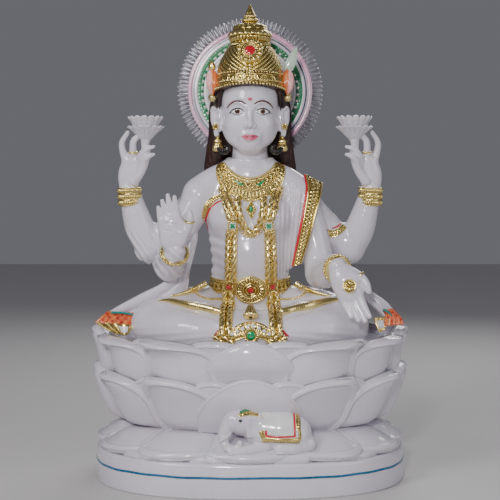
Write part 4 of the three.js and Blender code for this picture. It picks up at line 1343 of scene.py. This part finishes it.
piece("shawl_inlays", *join([
    inlay(fringe_base, fringe_normal, fringe_height, 48, 72),
    inlay(tip_base, tip_normal, tip_height, 10, 36),
]), WHITE)
spots = [(0.25 + 0.5 * ((k * 5) % 3) / 2, (k + 0.6) / 11) for k in range(11)]
piece("shawl_berries", *join([
    berries(end_base, end_normal, end_height, spots),
    berries(left_base, left_normal, left_height, spots[::2], 2.2),
]), RED)
teal = [
    tube(smooth_line([(-222, -80, 316), (-240, -84, 320), (-262, -90, 321)], 24), 2.2),
    tube(smooth_line([(250, -99, 328), (260, -96, 322), (269, -92, 312)], 24), 2.2),
]
piece("shawl_teal_lines", *join(teal), TEAL)

# ------------------------------------------------------------------ crown
CROWN_AT = (0, 4, 0)
BAND_LOW, BAND_HIGH = span("crown_band")[0][2], span("crown_band")[1][2]


def leaf(angle, height, radius, count, shift, base, top, tall):
    """A row of pointed leaves with raised rims and veins, round a turned piece."""
    u = (angle / (2 * np.pi) * count + shift) % 1 - 0.5
    t = (height - base) / (top - base)
    inside = (t > 0) & (t < 1)
    half = 0.5 * np.clip(1 - np.clip(t, 0, 1) ** 1.7, 0, 1) ** 0.75
    gap = (half - np.abs(u)) * 2 * np.pi * radius / count
    rim = np.exp(-((gap - 1.6) ** 2) / 1.3)
    vein = (
        np.exp(-((u * 2 * np.pi * radius / count) ** 2) / 0.9)
        + 0.5 * bumps((height - base) / 3.4 + np.abs(u) * 5)
    )
    return inside * tall * (rim + (gap > 2.2) * (0.25 + 0.5 * vein))


def crown_relief(height, angle):
    """Feathered ridges that climb outwards from a beaded stem at the front, over two leafy bands."""
    side = np.pi - np.abs(angle - np.pi)
    fan = window(height, 779, 782, 828, 831)
    plume = bumps((height - 700) / 8.0 - side * 5.4, 0.7) * fan * rise(side, 0.07, 0.12)
    barbs = bumps(height / 5.2 + side * 9.0, 0.7) * fan
    stem = 4.0 * ridge(side * 60, 4.5) * (0.6 + 0.4 * bumps(height / 5.0)) * rise(height, 763, 766)
    low_leaf = leaf(angle + np.pi / 22, height, 66.0, 22, 0.5, 761, 773, 2.2)
    wire = 1.6 * (ridge(height - 772.5, 0.8) + ridge(height - 780, 0.8))
    collar = 2.2 * studs(angle, 52) * window(height, 831, 832.5, 836.5, 838)
    fans = np.maximum(2.3 * plume * (0.45 + 0.55 * barbs), stem)
    return np.maximum(np.maximum(fans, low_leaf), np.maximum(wire, collar))


def band_relief(height, angle):
    t = (height - BAND_LOW) / (BAND_HIGH - BAND_LOW)
    beads = studs(angle, 78) * window(t, 0.76, 0.82, 0.93, 0.99)
    wire = ridge(t - 0.31, 0.035) + ridge(t - 0.71, 0.035)
    scroll = bumps(angle * 36 / (2 * np.pi) + 0.6 * np.sin(t * 6)) * window(t, 0.36, 0.46, 0.58, 0.68)
    return 2.2 * beads + 1.5 * wire + 1.8 * scroll


band_z = np.linspace(BAND_LOW, BAND_HIGH, 26)
band_profile = [(58, BAND_LOW)] + [(72 - 0.12 * (z - BAND_LOW), z) for z in band_z] + [(56, BAND_HIGH)]
OVAL = np.array([0.94, 1.03, 1])  # the crown is a little deeper than it is wide


def shaped(points):
    """The crown's oval plan, with the lower edge arched over the forehead."""
    x, y, z = (np.asarray(points) * OVAL).T
    front = np.clip(-y / (np.hypot(x, y) + 1e-6), 0, 1) ** 1.8
    share = np.clip((BAND_HIGH - z) / (BAND_HIGH - BAND_LOW), 0, 1)
    return np.stack([x, y, z + 8.5 * front * share], 1) + CROWN_AT


def crowned(profile, sides, relief):
    """A turned part of the crown."""
    points, faces = turned(profile, sides=sides, relief=relief)
    return shaped(points), faces


piece("crown_brow_band", *crowned(band_profile, 468, band_relief), GOLD, ["crown_band"])
dome_line = smooth_line([
    (69.5, 0, 760), (68, 0, 768), (67, 0, 780), (64, 0, 794), (58, 0, 808), (50, 0, 821), (42.5, 0, 832),
    (39.5, 0, 841),
], 84)
pearls = []
for z, r, count, size in ((BAND_LOW + 2.8, 74.2, 66, 2.5), (776.3, 68.6, 72, 2.1)):
    for angle in circle(count):
        at = shaped([[r * math.sin(angle), -r * math.cos(angle), z]])[0]
        pearls.append(bead(at, size))
piece("crown_pearls", *join(pearls), GOLD)
# Rings set behind the rows of pearls in the painted shadow brown, as the shade between and under them.
shadow_channels = [
    crowned([(r - 6, z - tall), (r + 0.9, z - tall), (r + 0.9, z + tall), (r - 6, z + tall)], 180, None)
    for z, r, tall in ((BAND_LOW + 2.8, 72.6, 2.9), (776.3, 67.0, 2.6))
]
piece("crown_shadow_channels", *join(shadow_channels), GOLD_SHADOW)
piece(
    "crown_dome_relief", *crowned([(50, 758), *dome_line[:, [0, 2]], (20, 842)], 420, crown_relief), GOLD,
    ["crown_dome"],
)


def tier_relief(height, angle):
    ribs = 2.2 * studs(angle, 34) * window(height, 838, 841, 846, 849)
    scallops = 3.6 * studs(angle, 18, 0.5) * window(height, 848, 852, 857, 861)
    upper = 3.0 * bumps(angle * 14 / (2 * np.pi) + 0.5, 0.5) * window(height, 862, 865, 871, 875)
    return ribs + scallops + upper


tier = smooth_line([
    (38, 0, 837), (41, 0, 843), (43.5, 0, 849), (42.5, 0, 855), (38, 0, 861), (33, 0, 866), (30, 0, 872),
    (20, 0, 876),
], 50)
piece(
    "crown_upper_tier", *crowned([(20, 836), *tier[:, [0, 2]], (8, 876.5)], 360, tier_relief), GOLD,
    ["crown_tier"],
)
TIP = span("crown_finial")[1][2]
finial = [
    (6, 870), (17, 873), (17.5, 875.5), (15, 877.5), (13, 879), (14.5, 881), (15, 883.5), (13.5, 885.5),
    (11, 887), (11.5, 889.5), (11, 892), (9, 894), (8.6, 896.5), (7, 900), (5.4, 904), (3.8, 908),
    (2, TIP - 1.6), (0.4, TIP),
]
fine_finial = smooth_line(np.insert(np.array(finial), 1, 0, 1), 60)[:, [0, 2]]
piece(
    "crown_spire",
    *turned(
        fine_finial, CROWN_AT, sides=160, relief=lambda z, a: 1.1 * studs(a, 20) * rise(-z, -900, -888),
    ),
    GOLD, ["crown_finial"],
)

gem_low, gem_high = span("crown_gem")
MEDAL = np.array([0, gem_low[1] - 1, (gem_low[2] + gem_high[2]) / 2])
MEDAL_FACE = (0, -1, 0.34)


def medal_relief(r, a):
    rays = (0.4 + 3.4 * studs(a, 15, 0.5)) * window(r, 15.0, 16.5, 21, 24)
    rim = 2.6 * ridge(r - 13.6, 1.2) + 2.6 * ridge(r - 10.4, 1.0)
    return 1.4 + rays + rim


piece(
    "crown_rosette",
    *disc(
        MEDAL, MEDAL_FACE, 23.5, medal_relief, rows=34, sides=240, back=9,
        edge=lambda a: 1 + 0.06 * studs(a, 15),
    ),
    GOLD, ["crown_medallion"],
)
gem = disc(MEDAL, MEDAL_FACE, 9.8, dome(1.8, 3.2, 10), rows=12, sides=48)
piece("crown_red_gem", *gem, RED_GLASS, ["crown_gem"])

# flowers tucked in at both sides of the crown
buds, oranges, pinks = [], [], []
for side in (-1, 1):
    root = np.array([side * 73, -8, 739])
    for k, (lean, reach) in enumerate(((-7, 46), (-1, 50), (5, 49), (10, 41))):
        line = smooth_line([
            root, root + (side * lean * 0.5, -4, reach * 0.4), root + (side * lean * 0.9, -2, reach),
        ], 18)
        (oranges if k < 2 else pinks).append(tube(
            line, (2.5, 5.8, 6.0, 4.6, 0.8), 14, lambda a, u: 1 + 0.06 * np.cos(5 * a), 0.7, (0, 1, 0),
        ))
    rose = turned(
        [(0.5, -6), (6, -4), (7.5, 0), (5, 4), (0.5, 6)], root + (0, -3, -7), (0, -1, 0.2), 48,
        lambda z, a: 1.4 * studs(a, 8),
    )
    buds.append(rose)
top_bud = turned(
    [(1, 0), (5, 3), (7, 8), (5.6, 13), (2.6, 18), (0.4, 21)], (-73, -8, 783), (-0.1, -0.1, 1), 40,
    lambda z, a: 0.9 * studs(a, 7),
)
piece("crown_side_gold", *join(buds + [top_bud]), GOLD)
piece("crown_side_petals_orange", *join(oranges), ORANGE, ["crown_flower_right"])
piece("crown_side_petals_pink", *join(pinks), BLUSH, ["crown_flower_left"])
blade = smooth_line([(70, -7, 775), (76, -9, 792), (84, -8, 812), (91, -6, 832)], 36)
piece("crown_side_leaf", *tube(
    blade, (4.5, 9.5, 10.5, 6.5, 0.6), 20, lambda a, u: 1 - 0.08 * np.abs(np.cos(a)), 0.26, (0, 1, 0),
), LEAF)

# ------------------------------------------------------------------ halo
HALO_LOW, HALO_HIGH = span("halo_fringe")
HALO = np.array([0, span("halo_disc")[0][1] + 2, (HALO_LOW[2] + HALO_HIGH[2]) / 2])
RIM = (HALO_HIGH[2] - HALO_LOW[2]) / 2
FRONT = (0, -1, 0)
TEETH = 100


def halo_ring(name, low, high, height, material, nodes=(), rows=8, sides=200, back=6.0, edge=None):
    piece(name, *disc(HALO, FRONT, high, height, low, back, rows, sides, edge), material, nodes)


def pleats(r, a):
    """Radial folds with sharp crests that stand further out towards the rim."""
    spread = rise(r, 124, 130)
    return 1.2 + spread * (
        5.6 * saw(a * TEETH / (2 * np.pi)) ** 1.3 + 1.2 * saw(a * TEETH / (4 * np.pi)) ** 4
    ) - 0.03 * (r - 120)


halo_ring(
    "halo_pleats", 124, RIM, pleats, SILVER, ["halo_fringe"], rows=16, sides=TEETH * 8, back=4,
    edge=lambda a: 0.972 + 0.03 * saw(a * TEETH / (2 * np.pi)),
)
halo_ring(
    "halo_lilac_ring", 116.4, 125.5, lambda r, a: 3.0 - 0.05 * (r - 121) ** 2 + 0.3 * bumps(a * 30), LILAC,
    sides=480,
)
halo_ring(
    "halo_plate", 0, 117,
    lambda r, a: 1.2 + 0.9 * rise(r, 105.8, 106.6) + 0.4 * np.sin(r / 1.9) * (r > 62) * (r < 88), MARBLE,
    ["halo_disc"], rows=90, sides=240, back=8,
)
halo_ring("halo_blue_line", 111.8, 114.8, lambda r, a: 2.8 + 0 * a, NAVY)
halo_ring(
    "halo_green_band", 92.6, 106, lambda r, a: 2.2 + 0.8 * studs(a, 90) * (r > 100), GREEN, rows=14,
    sides=540,
)
count = 92
white_beads, green_beads = [], []
for k in range(count):
    a = 2 * math.pi * k / count
    spot = HALO + (96 * math.sin(a), -3.0, 96 * math.cos(a))
    (green_beads if k % 2 else white_beads).append(bead(spot, 3.1))
piece("halo_white_beads", *join(white_beads), WHITE, ["halo_bead_ring"])
piece("halo_green_beads", *join(green_beads), GREEN)
halo_ring("halo_inner_ring", 88.6, 92.8, lambda r, a: 2.8 + 0.2 * bumps(a * 46 / np.pi), WHITE)

# ------------------------------------------------------------------ jewels on the body
def scroll(s, u, pitch=11.0):
    """A running stem that waves between two rims, with a boss in each bend."""
    stem = ridge(s - 0.42 * np.sin(2 * np.pi * u / pitch), 0.16)
    boss = np.exp(-((s + 0.36 * np.sin(2 * np.pi * u / pitch)) ** 2) / 0.035) * bumps(u / pitch * 2, 0.5)
    rims = window(np.abs(s), 0.7, 0.82, 0.93, 1.02)
    return 0.7 + 1.5 * np.maximum(np.maximum(stem, boss), rims)


def beaded(s, u):
    rims = window(np.abs(s), 0.76, 0.86, 0.94, 1.02)
    return 0.8 + 1.6 * bumps(u / 4.6) * rise(-np.abs(s), -0.66, -0.3) + 1.1 * rims


def plain(tall):
    return lambda s, u: tall * (1 - np.abs(s) ** 4)


k, tau = np.meshgrid(np.linspace(0, 1, 84), np.linspace(0, 1, 230), indexing="ij")
inner = smooth_line([
    (-50, 0, 607), (-44, 0, 597), (-33, 0, 586), (-18, 0, 578), (1, 0, 574.5), (20, 0, 578), (34, 0, 586),
    (45, 0, 597), (50, 0, 607),
], 230)
outer = smooth_line([
    (-62, 0, 603), (-66, 0, 592), (-64, 0, 574), (-54, 0, 554), (-30, 0, 539), (2, 0, 529), (33, 0, 539),
    (56, 0, 554), (66, 0, 574), (68, 0, 592), (63, 0, 603),
], 230)
collar_x = inner[None, :, 0] * (1 - k) + outer[None, :, 0] * k
collar_z = inner[None, :, 2] * (1 - k) + outer[None, :, 2] * k
turns = tau * 34
edge_fade = window(tau, 0, 0.015, 0.985, 1)
row = lambda low, high: rise(k, low, low + 0.03) * rise(-k, -high, -high + 0.03)
wires = sum(ridge(k - place, 0.014) for place in (0.02, 0.17, 0.44, 0.56, 0.86, 0.98))
collar_h = 1.2 + edge_fade * (
    1.9 * wires + 1.9 * row(0.04, 0.16) * bumps(turns * 1.3) + 2.3 * row(0.46, 0.55) * bumps(turns * 1.6)
    + 1.9 * row(0.88, 0.97) * bumps(turns * 1.8)
    + row(0.18, 0.43) * 2.2 * np.maximum(
        bumps(turns * 0.5 + k * 4.0, 0.5) ** 6, bumps(turns * 0.5 - k * 4.0, 0.5) ** 6,
    )
    + row(0.57, 0.85) * 2.4 * (0.6 * bumps(turns * 0.8) + 0.4 * bumps(k * 22))
)
collar_mesh = patch(body_skin, collar_x, collar_z, collar_h)
dressed = Skin(body_mesh, patch(body_skin, collar_x, collar_z, np.full(k.shape, 1.6)))
piece("collar", *collar_mesh, GOLD, ["collar_necklace"])
crescents = [
    ribbon(dressed, [(side * 28, 571), (side * 20, 564.5), (side * 11, 562)], (2, 7, 2), plain(2.8), 9, 1.0)
    for side in (-1, 1)
]
piece("collar_green", *join(crescents), GREEN_GLASS)

loop = [(-23, 541), (-23, 516), (-17, 492), (-8, 476), (2, 468), (12, 476), (21, 492), (26, 516), (26, 541)]
piece(
    "short_rope",
    *join([
        rope(dressed, loop, 6.4, pitch=14),
        bead_row(dressed, [(x * 1.40 - 0.8, z - 4 - 5 * (z < 500)) for x, z in loop[:-1]], 2.6)
    ]),
    GOLD, ["short_garland"]
)


def medallion(skin, at, outer, height, sides=96, back=2.0, rows=18, edge=None, lift=0.0):
    """A round jewel set on a skin at (x, z), facing out of it."""
    place, face = skin.front(*at)
    face = face + (0, -0.6, 0)
    return disc(
        place + face / np.linalg.norm(face) * lift, face, outer, height, 0.0, back, rows, sides, edge,
    )


def lozenge(a):
    return 1 / (np.abs(np.sin(a)) * 1.75 + np.abs(np.cos(a)))


pendant = medallion(
    dressed, (2, 515), 18,
    lambda r, a: 1.8 + 1.6 * rise(r, 14.5, 15.5) + 1.2 * studs(a, 12) * rise(r, 9, 10), edge=lozenge,
    lift=2.5, back=6,
)
piece("pendant", *pendant, GOLD)
piece(
    "pendant_gem", *medallion(dressed, (2, 515), 7.4, dome(2.6, 2.6, 7.6), edge=lozenge, lift=2.5),
    GREEN_GLASS,
)

golds, whites_and_glints, greens, reds = [], [], [], []
for side, hand in ((-1, "right"), (1, "left")):
    x = lambda value: side * value + 1.5
    upper = [
        rope(dressed, [(x(59), 560), (x(50), 528), (x(40.5), 496)], 5.2, pitch=13),
        rope(dressed, [(x(48), 556), (x(40), 526), (x(31), 496)], 5.2, pitch=13),
        bead_row(dressed, [(x(53.5), 556), (x(45), 526), (x(36), 496)], 2.0, 2.1, 1.8),
        rope(dressed, [(x(30.5), 476), (x(31), 430), (x(32), 376)], 5.6, pitch=13),
        rope(dressed, [(x(42), 476), (x(43), 430), (x(44), 376)], 5.6, pitch=13),
        bead_row(dressed, [(x(36.5), 474), (x(37), 430), (x(38), 378)], 2.0, 2.1, 2.0),
    ]
    fall = [(x(42), 356), (x(44), 334), (x(45), 310), (x(45), 288)]
    lower_strand = [
        ribbon(
            lap_skin, fall, 25, lambda s, u: 0.9 + 1.2 * window(np.abs(s), 0.84, 0.9, 0.97, 1.01), 19, 1.2,
        ),
        rope(lap_skin, [(p[0] - 6.5, p[1]) for p in fall], 5.4, pitch=12),
        rope(lap_skin, [(p[0] + 6.5, p[1]) for p in fall], 5.4, pitch=12)
    ]
    piece(f"garland_{hand}", *join(upper + lower_strand), GOLD, [f"long_garland_{hand}"])
    square = lambda a: 1 / np.maximum(np.abs(np.cos(a)), np.abs(np.sin(a))) ** 0.8
    for at, skin in (((x(35), 485), dressed), ((x(41), 366), lap_skin)):
        golds.append(medallion(
            skin, at, 9.5, lambda r, a: 2.4 + 1.8 * rise(r, 7.6, 8.4) * studs(a, 16), edge=square, lift=3,
            back=6,
        ))
    # Painted highlight: a white square under each green gem stands for the sparkle on its gold setting.
    whites_and_glints.append(medallion(
        dressed, (x(35), 485), 6.4, lambda r, a: 3.4 + 0.6 * lobes(4, a), edge=square, lift=3,
    ))
    greens.append(medallion(
        dressed, (x(35), 485), 5.0, lambda r, a: 4.4 + 0.8 * lobes(4, a),
        edge=lambda a: 0.45 + 0.75 * np.abs(np.cos(2 * a + np.pi / 2)) ** 0.7, lift=3,
    ))
    reds.append(medallion(lap_skin, (x(41), 366), 4.6, dome(3.0, 1.8, 4.8), edge=square, lift=3))
    reds.append(ribbon(lap_skin, [(x(58), 298), (x(62), 292), (x(68), 287)], (3, 5, 3), plain(2.4), 7, 1.0))
piece("garland_medallions", *join(golds), GOLD)

clasp = [
    ribbon(
        lap_skin, [(-63, 279), (-44, 284), (-22, 293), (2, 297), (26, 293), (46, 284), (64, 278)],
        (14, 26, 24, 22, 24, 26, 14), scroll, 25, 1.1, sink=4,
    ),
    rope(lap_skin, [(-66, 288), (-48, 276), (-38, 270)], 4.6, pitch=11),
    rope(lap_skin, [(-58, 294), (-40, 282), (-28, 275)], 4.6, pitch=11),
    rope(lap_skin, [(66, 286), (50, 276), (40, 270)], 4.6, pitch=11),
    rope(lap_skin, [(58, 294), (42, 282), (30, 275)], 4.6, pitch=11),
    ribbon(lap_skin, [(-34, 296), (-17, 307), (2, 311), (21, 307), (36, 296)], 7, beaded, 11, 1.1),
    medallion(
        lap_skin, (2, 290), 13.5, lambda r, a: 2.4 + 1.8 * rise(r, 9.5, 10.5) * studs(a, 18), lift=2.5,
        back=8,
    ),
]
piece("clasp", *join(clasp), GOLD, ["garland_clasp"])
whites_and_glints.append(bead_row(lap_skin, [(-31, 291), (-17, 301), (2, 305), (20, 301), (33, 291)], 3.6, 2.5, 1.2))
greens.append(medallion(lap_skin, (2, 290), 7.6, dome(3.0, 3.0, 7.8), lift=2.5))
# Real white beads at the clasp, together with the painted highlights under the green gems.
piece("white_inlays_and_glints", *join(whites_and_glints), WHITE)
piece("green_inlays", *join(greens), GREEN_GLASS)
piece("red_inlays", *join(reds), RED_GLASS)

BELT_Z = (span("belt")[0][2] + span("belt")[1][2]) / 2 + 2
turn = np.linspace(-math.pi * 0.985, math.pi * 0.985, 40)
waist = [(84 * math.sin(a), 18 - 58 * math.cos(a), BELT_Z + 5 - 8 * math.cos(a)) for a in turn]


def belt_relief(s, u):
    rows = 1.7 * bumps(u / 5.0) * (window(np.abs(s), 0.62, 0.68, 0.88, 0.95))
    wires = ridge(np.abs(s) - 0.55, 0.06) + ridge(np.abs(s) - 0.98, 0.05)
    return (
        1.2 + rows + 1.4 * wires
        + 1.9 * rise(-np.abs(s), -0.48, -0.4) * np.maximum(
            bumps(u / 12 + s * 0.5) ** 5, bumps(u / 12 - s * 0.5) ** 5,
        )
    )


piece("belt_band", *ribbon(body_skin, waist, 28, belt_relief, 25, 1.2, sink=3), GOLD, ["belt"])


def buckle(r, a):
    return (
        2.2 + sum(2.0 * ridge(r - at, 1.1) for at in (8, 13, 24))
        + 2.2 * studs(a, 24) * window(r, 15, 16, 21.5, 22.5) + 0.8 * studs(a, 40) * (r > 23)
    )


buckle_at = (1.5, BELT_Z - 5)
piece(
    "buckle",
    *medallion(
        body_skin, buckle_at, 27, buckle, 192, 12, 40,
        edge=lambda a: 1 + 0.16 * np.sin(a) ** 2
        + 0.1 * np.exp(-((np.minimum(a, 2 * np.pi - a) / 0.3) ** 2)),
        lift=4.5,
    ),
    GOLD, ["belt_medallion"],
)
piece("buckle_gem", *medallion(body_skin, buckle_at, 5.4, dome(3, 2.6, 5.6), 40, lift=4.5), RED_GLASS)
tassel_at, tassel_face = lap_skin.front(1, 316)
tassel_at, tassel_face = tassel_at + (0, 2, 15), np.array([0, -1.0, 0])
tassel = turned(
    [(1, -14), (10, -12), (13, -9), (12, -5), (9, 0), (7, 6), (4, 12), (1, 14)],
    tassel_at + tassel_face * 3, (0, 0.5, 1), 96, lambda z, a: 1.2 * studs(a, 16),
)
piece("tassel", *tassel, GOLD)
piece("tassel_bead", *bead(tassel_at + tassel_face * 13 + (0, 0, -9), 3.4), BLACK)

# hems and trims of the dress
_, (border_base, border_normal, border_height) = cloth(
    (
        [(106, -8, 581), (109, -34, 552), (102.5, -45, 508), (94, -47, 464), (81.5, -42, 406)],
        [(141, 0, 562), (137, -24, 544), (127, -38, 508), (113.5, -42, 460), (98, -38, 412)],
    ),
    1, 0.6, 6.0, 150, 30,
)
share, down = np.linspace(-1, 1, 30)[None, :], np.linspace(0, 190, 150)[:, None]
border_relief = scroll(share, down, 15.0) * 1.25
piece(
    "sari_trim", *slab(border_base, border_normal, border_height + border_relief, 3.0), GOLD,
    ["sari_border"],
)
gilt = [
    ribbon(
        body_skin, [(-54, 541), (-70, 534), (-82, 522), (-89, 505), (-91, 496)], (10, 14, 14, 13, 6),
        beaded, 13, 1.1,
    ),
    ribbon(body_skin, [(152, 470), (164, 467), (176, 474), (186, 482)], 13, scroll, 15, 1.1),
    cord(lap_skin, [(-172, 344), (-150, 345), (-126, 341), (-90, 334), (-54, 327)], (3, 10, 13, 15, 14)),
    cord(lap_skin, [(56, 327), (92, 334), (128, 342), (154, 346), (178, 345)], (14, 15, 13, 10, 3)),
    cord(lap_skin, [(-152, 349), (-126, 354), (-104, 362), (-84, 373)], (3, 9, 11, 10)),
    cord(lap_skin, [(86, 373), (106, 362), (128, 354), (154, 349)], (10, 11, 9, 3)),
    strung(level(lap_skin, [(-106, 355), (-96, 347), (-80, 342), (-58, 341)]), 3.1),
    strung(level(lap_skin, [(60, 341), (82, 342), (98, 347), (108, 355)]), 3.1),
]
piece("gilt_hems", *join(gilt), GOLD)
red_lines = [
    ribbon(
        body_skin, [(-52, 533), (-66, 527), (-77, 516), (-85, 500), (-86, 490), (-81, 474)],
        (4, 7, 7, 6, 5, 3), plain(1.0), 7,
    ),
    tube(
        smooth_line(border_base[:, 0] + border_normal[:, 0] * 3.2 + (-1.6, 0, 0), 90),
        (1.6, 2.6, 2.6, 2.2, 1.6), 10,
    ),
    ribbon(body_skin, [(160, 478), (170, 481), (180, 488)], (2, 3.5, 2), plain(0.9), 7),
]
piece("red_lines", *join(red_lines), RED)

# earrings
for side, name in ((-1, "right"), (1, "left")):
    low, high = span(f"earring_{name}")
    hang = np.array([(low[0] + high[0]) / 2, (low[1] + high[1]) / 2, 0]) + (0, -1, 0)
    bell = turned(
        [
            (0.5, 627), (7, 628), (9.5, 631), (10, 635), (8, 640), (6, 645), (7.5, 648), (5.5, 652),
            (4, 656), (5.5, 659), (3, 663), (0.5, 664),
        ],
        hang, sides=96, relief=lambda z, a: 1.0 * studs(a, 14) * (z < 650),
    )
    stud_at, _ = head_skin.near((side * 68, -16, 676))
    stud = disc(
        stud_at, (side * 0.6, -0.8, 0), 6.5, lambda r, a: 1.6 + 1.6 * studs(a, 8) * (r > 3), rows=10,
        sides=64,
    )
    piece(f"{name}_earring", *join([bell, stud]), GOLD, [f"earring_{name}"])

# ------------------------------------------------------------------ painted face
brows, lids, irises, pupils, eye_whites, lips = [], [], [], [], [], []
for side in (-1, 1):
    m = lambda points: [(side * a, b) for a, b in points]
    brows.append(ribbon(
        head_skin, m([(8, 714.5), (16, 719.5), (26, 721), (36, 717), (44, 709)]), (2.6, 4.6, 4.6, 3.2, 0.9),
        plain(0.5), 7, 0.9, 1.0,
    ))
    lids.append(ribbon(
        head_skin, m([(11, 700), (16, 705), (24, 707), (32, 704.5), (38, 700), (42, 698)]),
        (1.0, 2.6, 3.2, 3.0, 2.4, 0.6), plain(0.45), 7, 0.8, 1.0,
    ))
    lids.append(ribbon(
        head_skin, m([(12, 699), (19, 696.2), (27, 696), (34, 698.4), (38, 700)]),
        (0.8, 1.4, 1.7, 1.6, 1.2), plain(0.4), 7, 0.8, 1.0,
    ))
    s, t = np.meshgrid(np.linspace(0, 1, 36), np.linspace(-1, 1, 15), indexing="ij")
    ex = 12.5 + 24.5 * s
    opening = 4.9 * np.sin(np.pi * s) ** 0.8 + 0.1
    eye_whites.append(patch(head_skin, side * ex, 700.6 + 0.6 * s + t * opening + 0.4, 0.3, 1.0))
    iris_at, iris_face = head_skin.front(side * 24.2, 701.4)
    irises.append(disc(
        iris_at + iris_face * 0.1, iris_face, 4.8, lambda r, a: 0.7 - 0.016 * r**2, rows=8, sides=36,
    ))
    pupils.append(disc(
        iris_at + iris_face * 0.1, iris_face, 2.3, lambda r, a: 0.95 - 0.02 * r**2, rows=5, sides=24,
    ))
piece("brows", *join(brows), BROWN)
piece("eye_lines", *join(lids), BLACK)
piece("eye_whites", *join(eye_whites), WHITE)
piece("irises", *join(irises), BROWN)
piece("pupils", *join(pupils), BLACK)
lips.append(ribbon(
    head_skin,
    [(-17.5, 653.6), (-9, 654.2), (-3, 655.0), (0, 654.6), (3, 655.0), (9, 654.2), (17.5, 653.6)],
    (0.6, 4.4, 6.6, 6.2, 6.6, 4.4, 0.6), plain(0.4), 11, 0.8, 0.8,
))
lips.append(ribbon(
    head_skin, [(-15, 652.2), (-8, 649.4), (0, 648.2), (8, 649.4), (15, 652.2)], (0.6, 5.4, 7.2, 5.4, 0.6),
    plain(0.4), 11, 0.8, 0.8,
))
piece("lips", *join(lips), PINK)
dot_at, dot_face = head_skin.front(0, 724)
piece("forehead_dot", *disc(
    dot_at, dot_face, 4.0, lambda r, a: 0.9 - 0.04 * r**2, rows=6, sides=30,
    edge=lambda a: 1 + 0.5 * np.abs(np.cos(a / 2)) ** 6,
), PINK)


# ------------------------------------------------------------------ camera and studio
def area_light(name, place, aim, size, power, tint=(1, 1, 1)):
    lamp = bpy.data.lights.new(name, "AREA")
    lamp.shape = "RECTANGLE"
    lamp.size, lamp.size_y = size
    lamp.energy = power
    lamp.color = tint
    thing = bpy.data.objects.new(name, lamp)
    thing.location = place
    thing.rotation_euler = (Vector(aim) - Vector(place)).to_track_quat("-Z", "Y").to_euler()
    bpy.context.scene.collection.objects.link(thing)


def studio():
    eye = bpy.data.cameras.new("camera")
    eye.lens, eye.sensor_width = 80.86, 36.0
    camera = bpy.data.objects.new("camera", eye)
    camera.location = (0, -2.2, 0.52)
    camera.rotation_euler = (math.radians(90 - 2.2), 0, 0)
    bpy.context.scene.collection.objects.link(camera)
    bpy.context.scene.camera = camera
    bpy.ops.mesh.primitive_plane_add(size=16)
    floor = bpy.context.object
    floor.name = "floor"
    floor.data.materials.append(shade("floor", (0.62, 0.6, 0.59), 0.6)[0])
    floor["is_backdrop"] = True
    world = bpy.data.worlds.new("world")
    world.use_nodes = True
    world.node_tree.nodes["Background"].inputs["Color"].default_value = (0.60, 0.60, 0.68, 1)
    world.node_tree.nodes["Background"].inputs["Strength"].default_value = 0.235
    bpy.context.scene.world = world
    middle = (0, 0, 0.45)
    area_light("flash", (-0.35, -2.7, 1.25), middle, (0.22, 0.22), 32, (1, 0.99, 0.98))
    area_light("key", (-1.5, -1.9, 2.0), middle, (0.9, 0.9), 32)
    area_light("fill", (2.2, -1.6, 1.1), middle, (1.2, 1.6), 11, (0.95, 0.95, 1.0))
    area_light("rim", (0.6, 2.0, 1.9), middle, (1.6, 1.0), 24)


studio()
low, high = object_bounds()
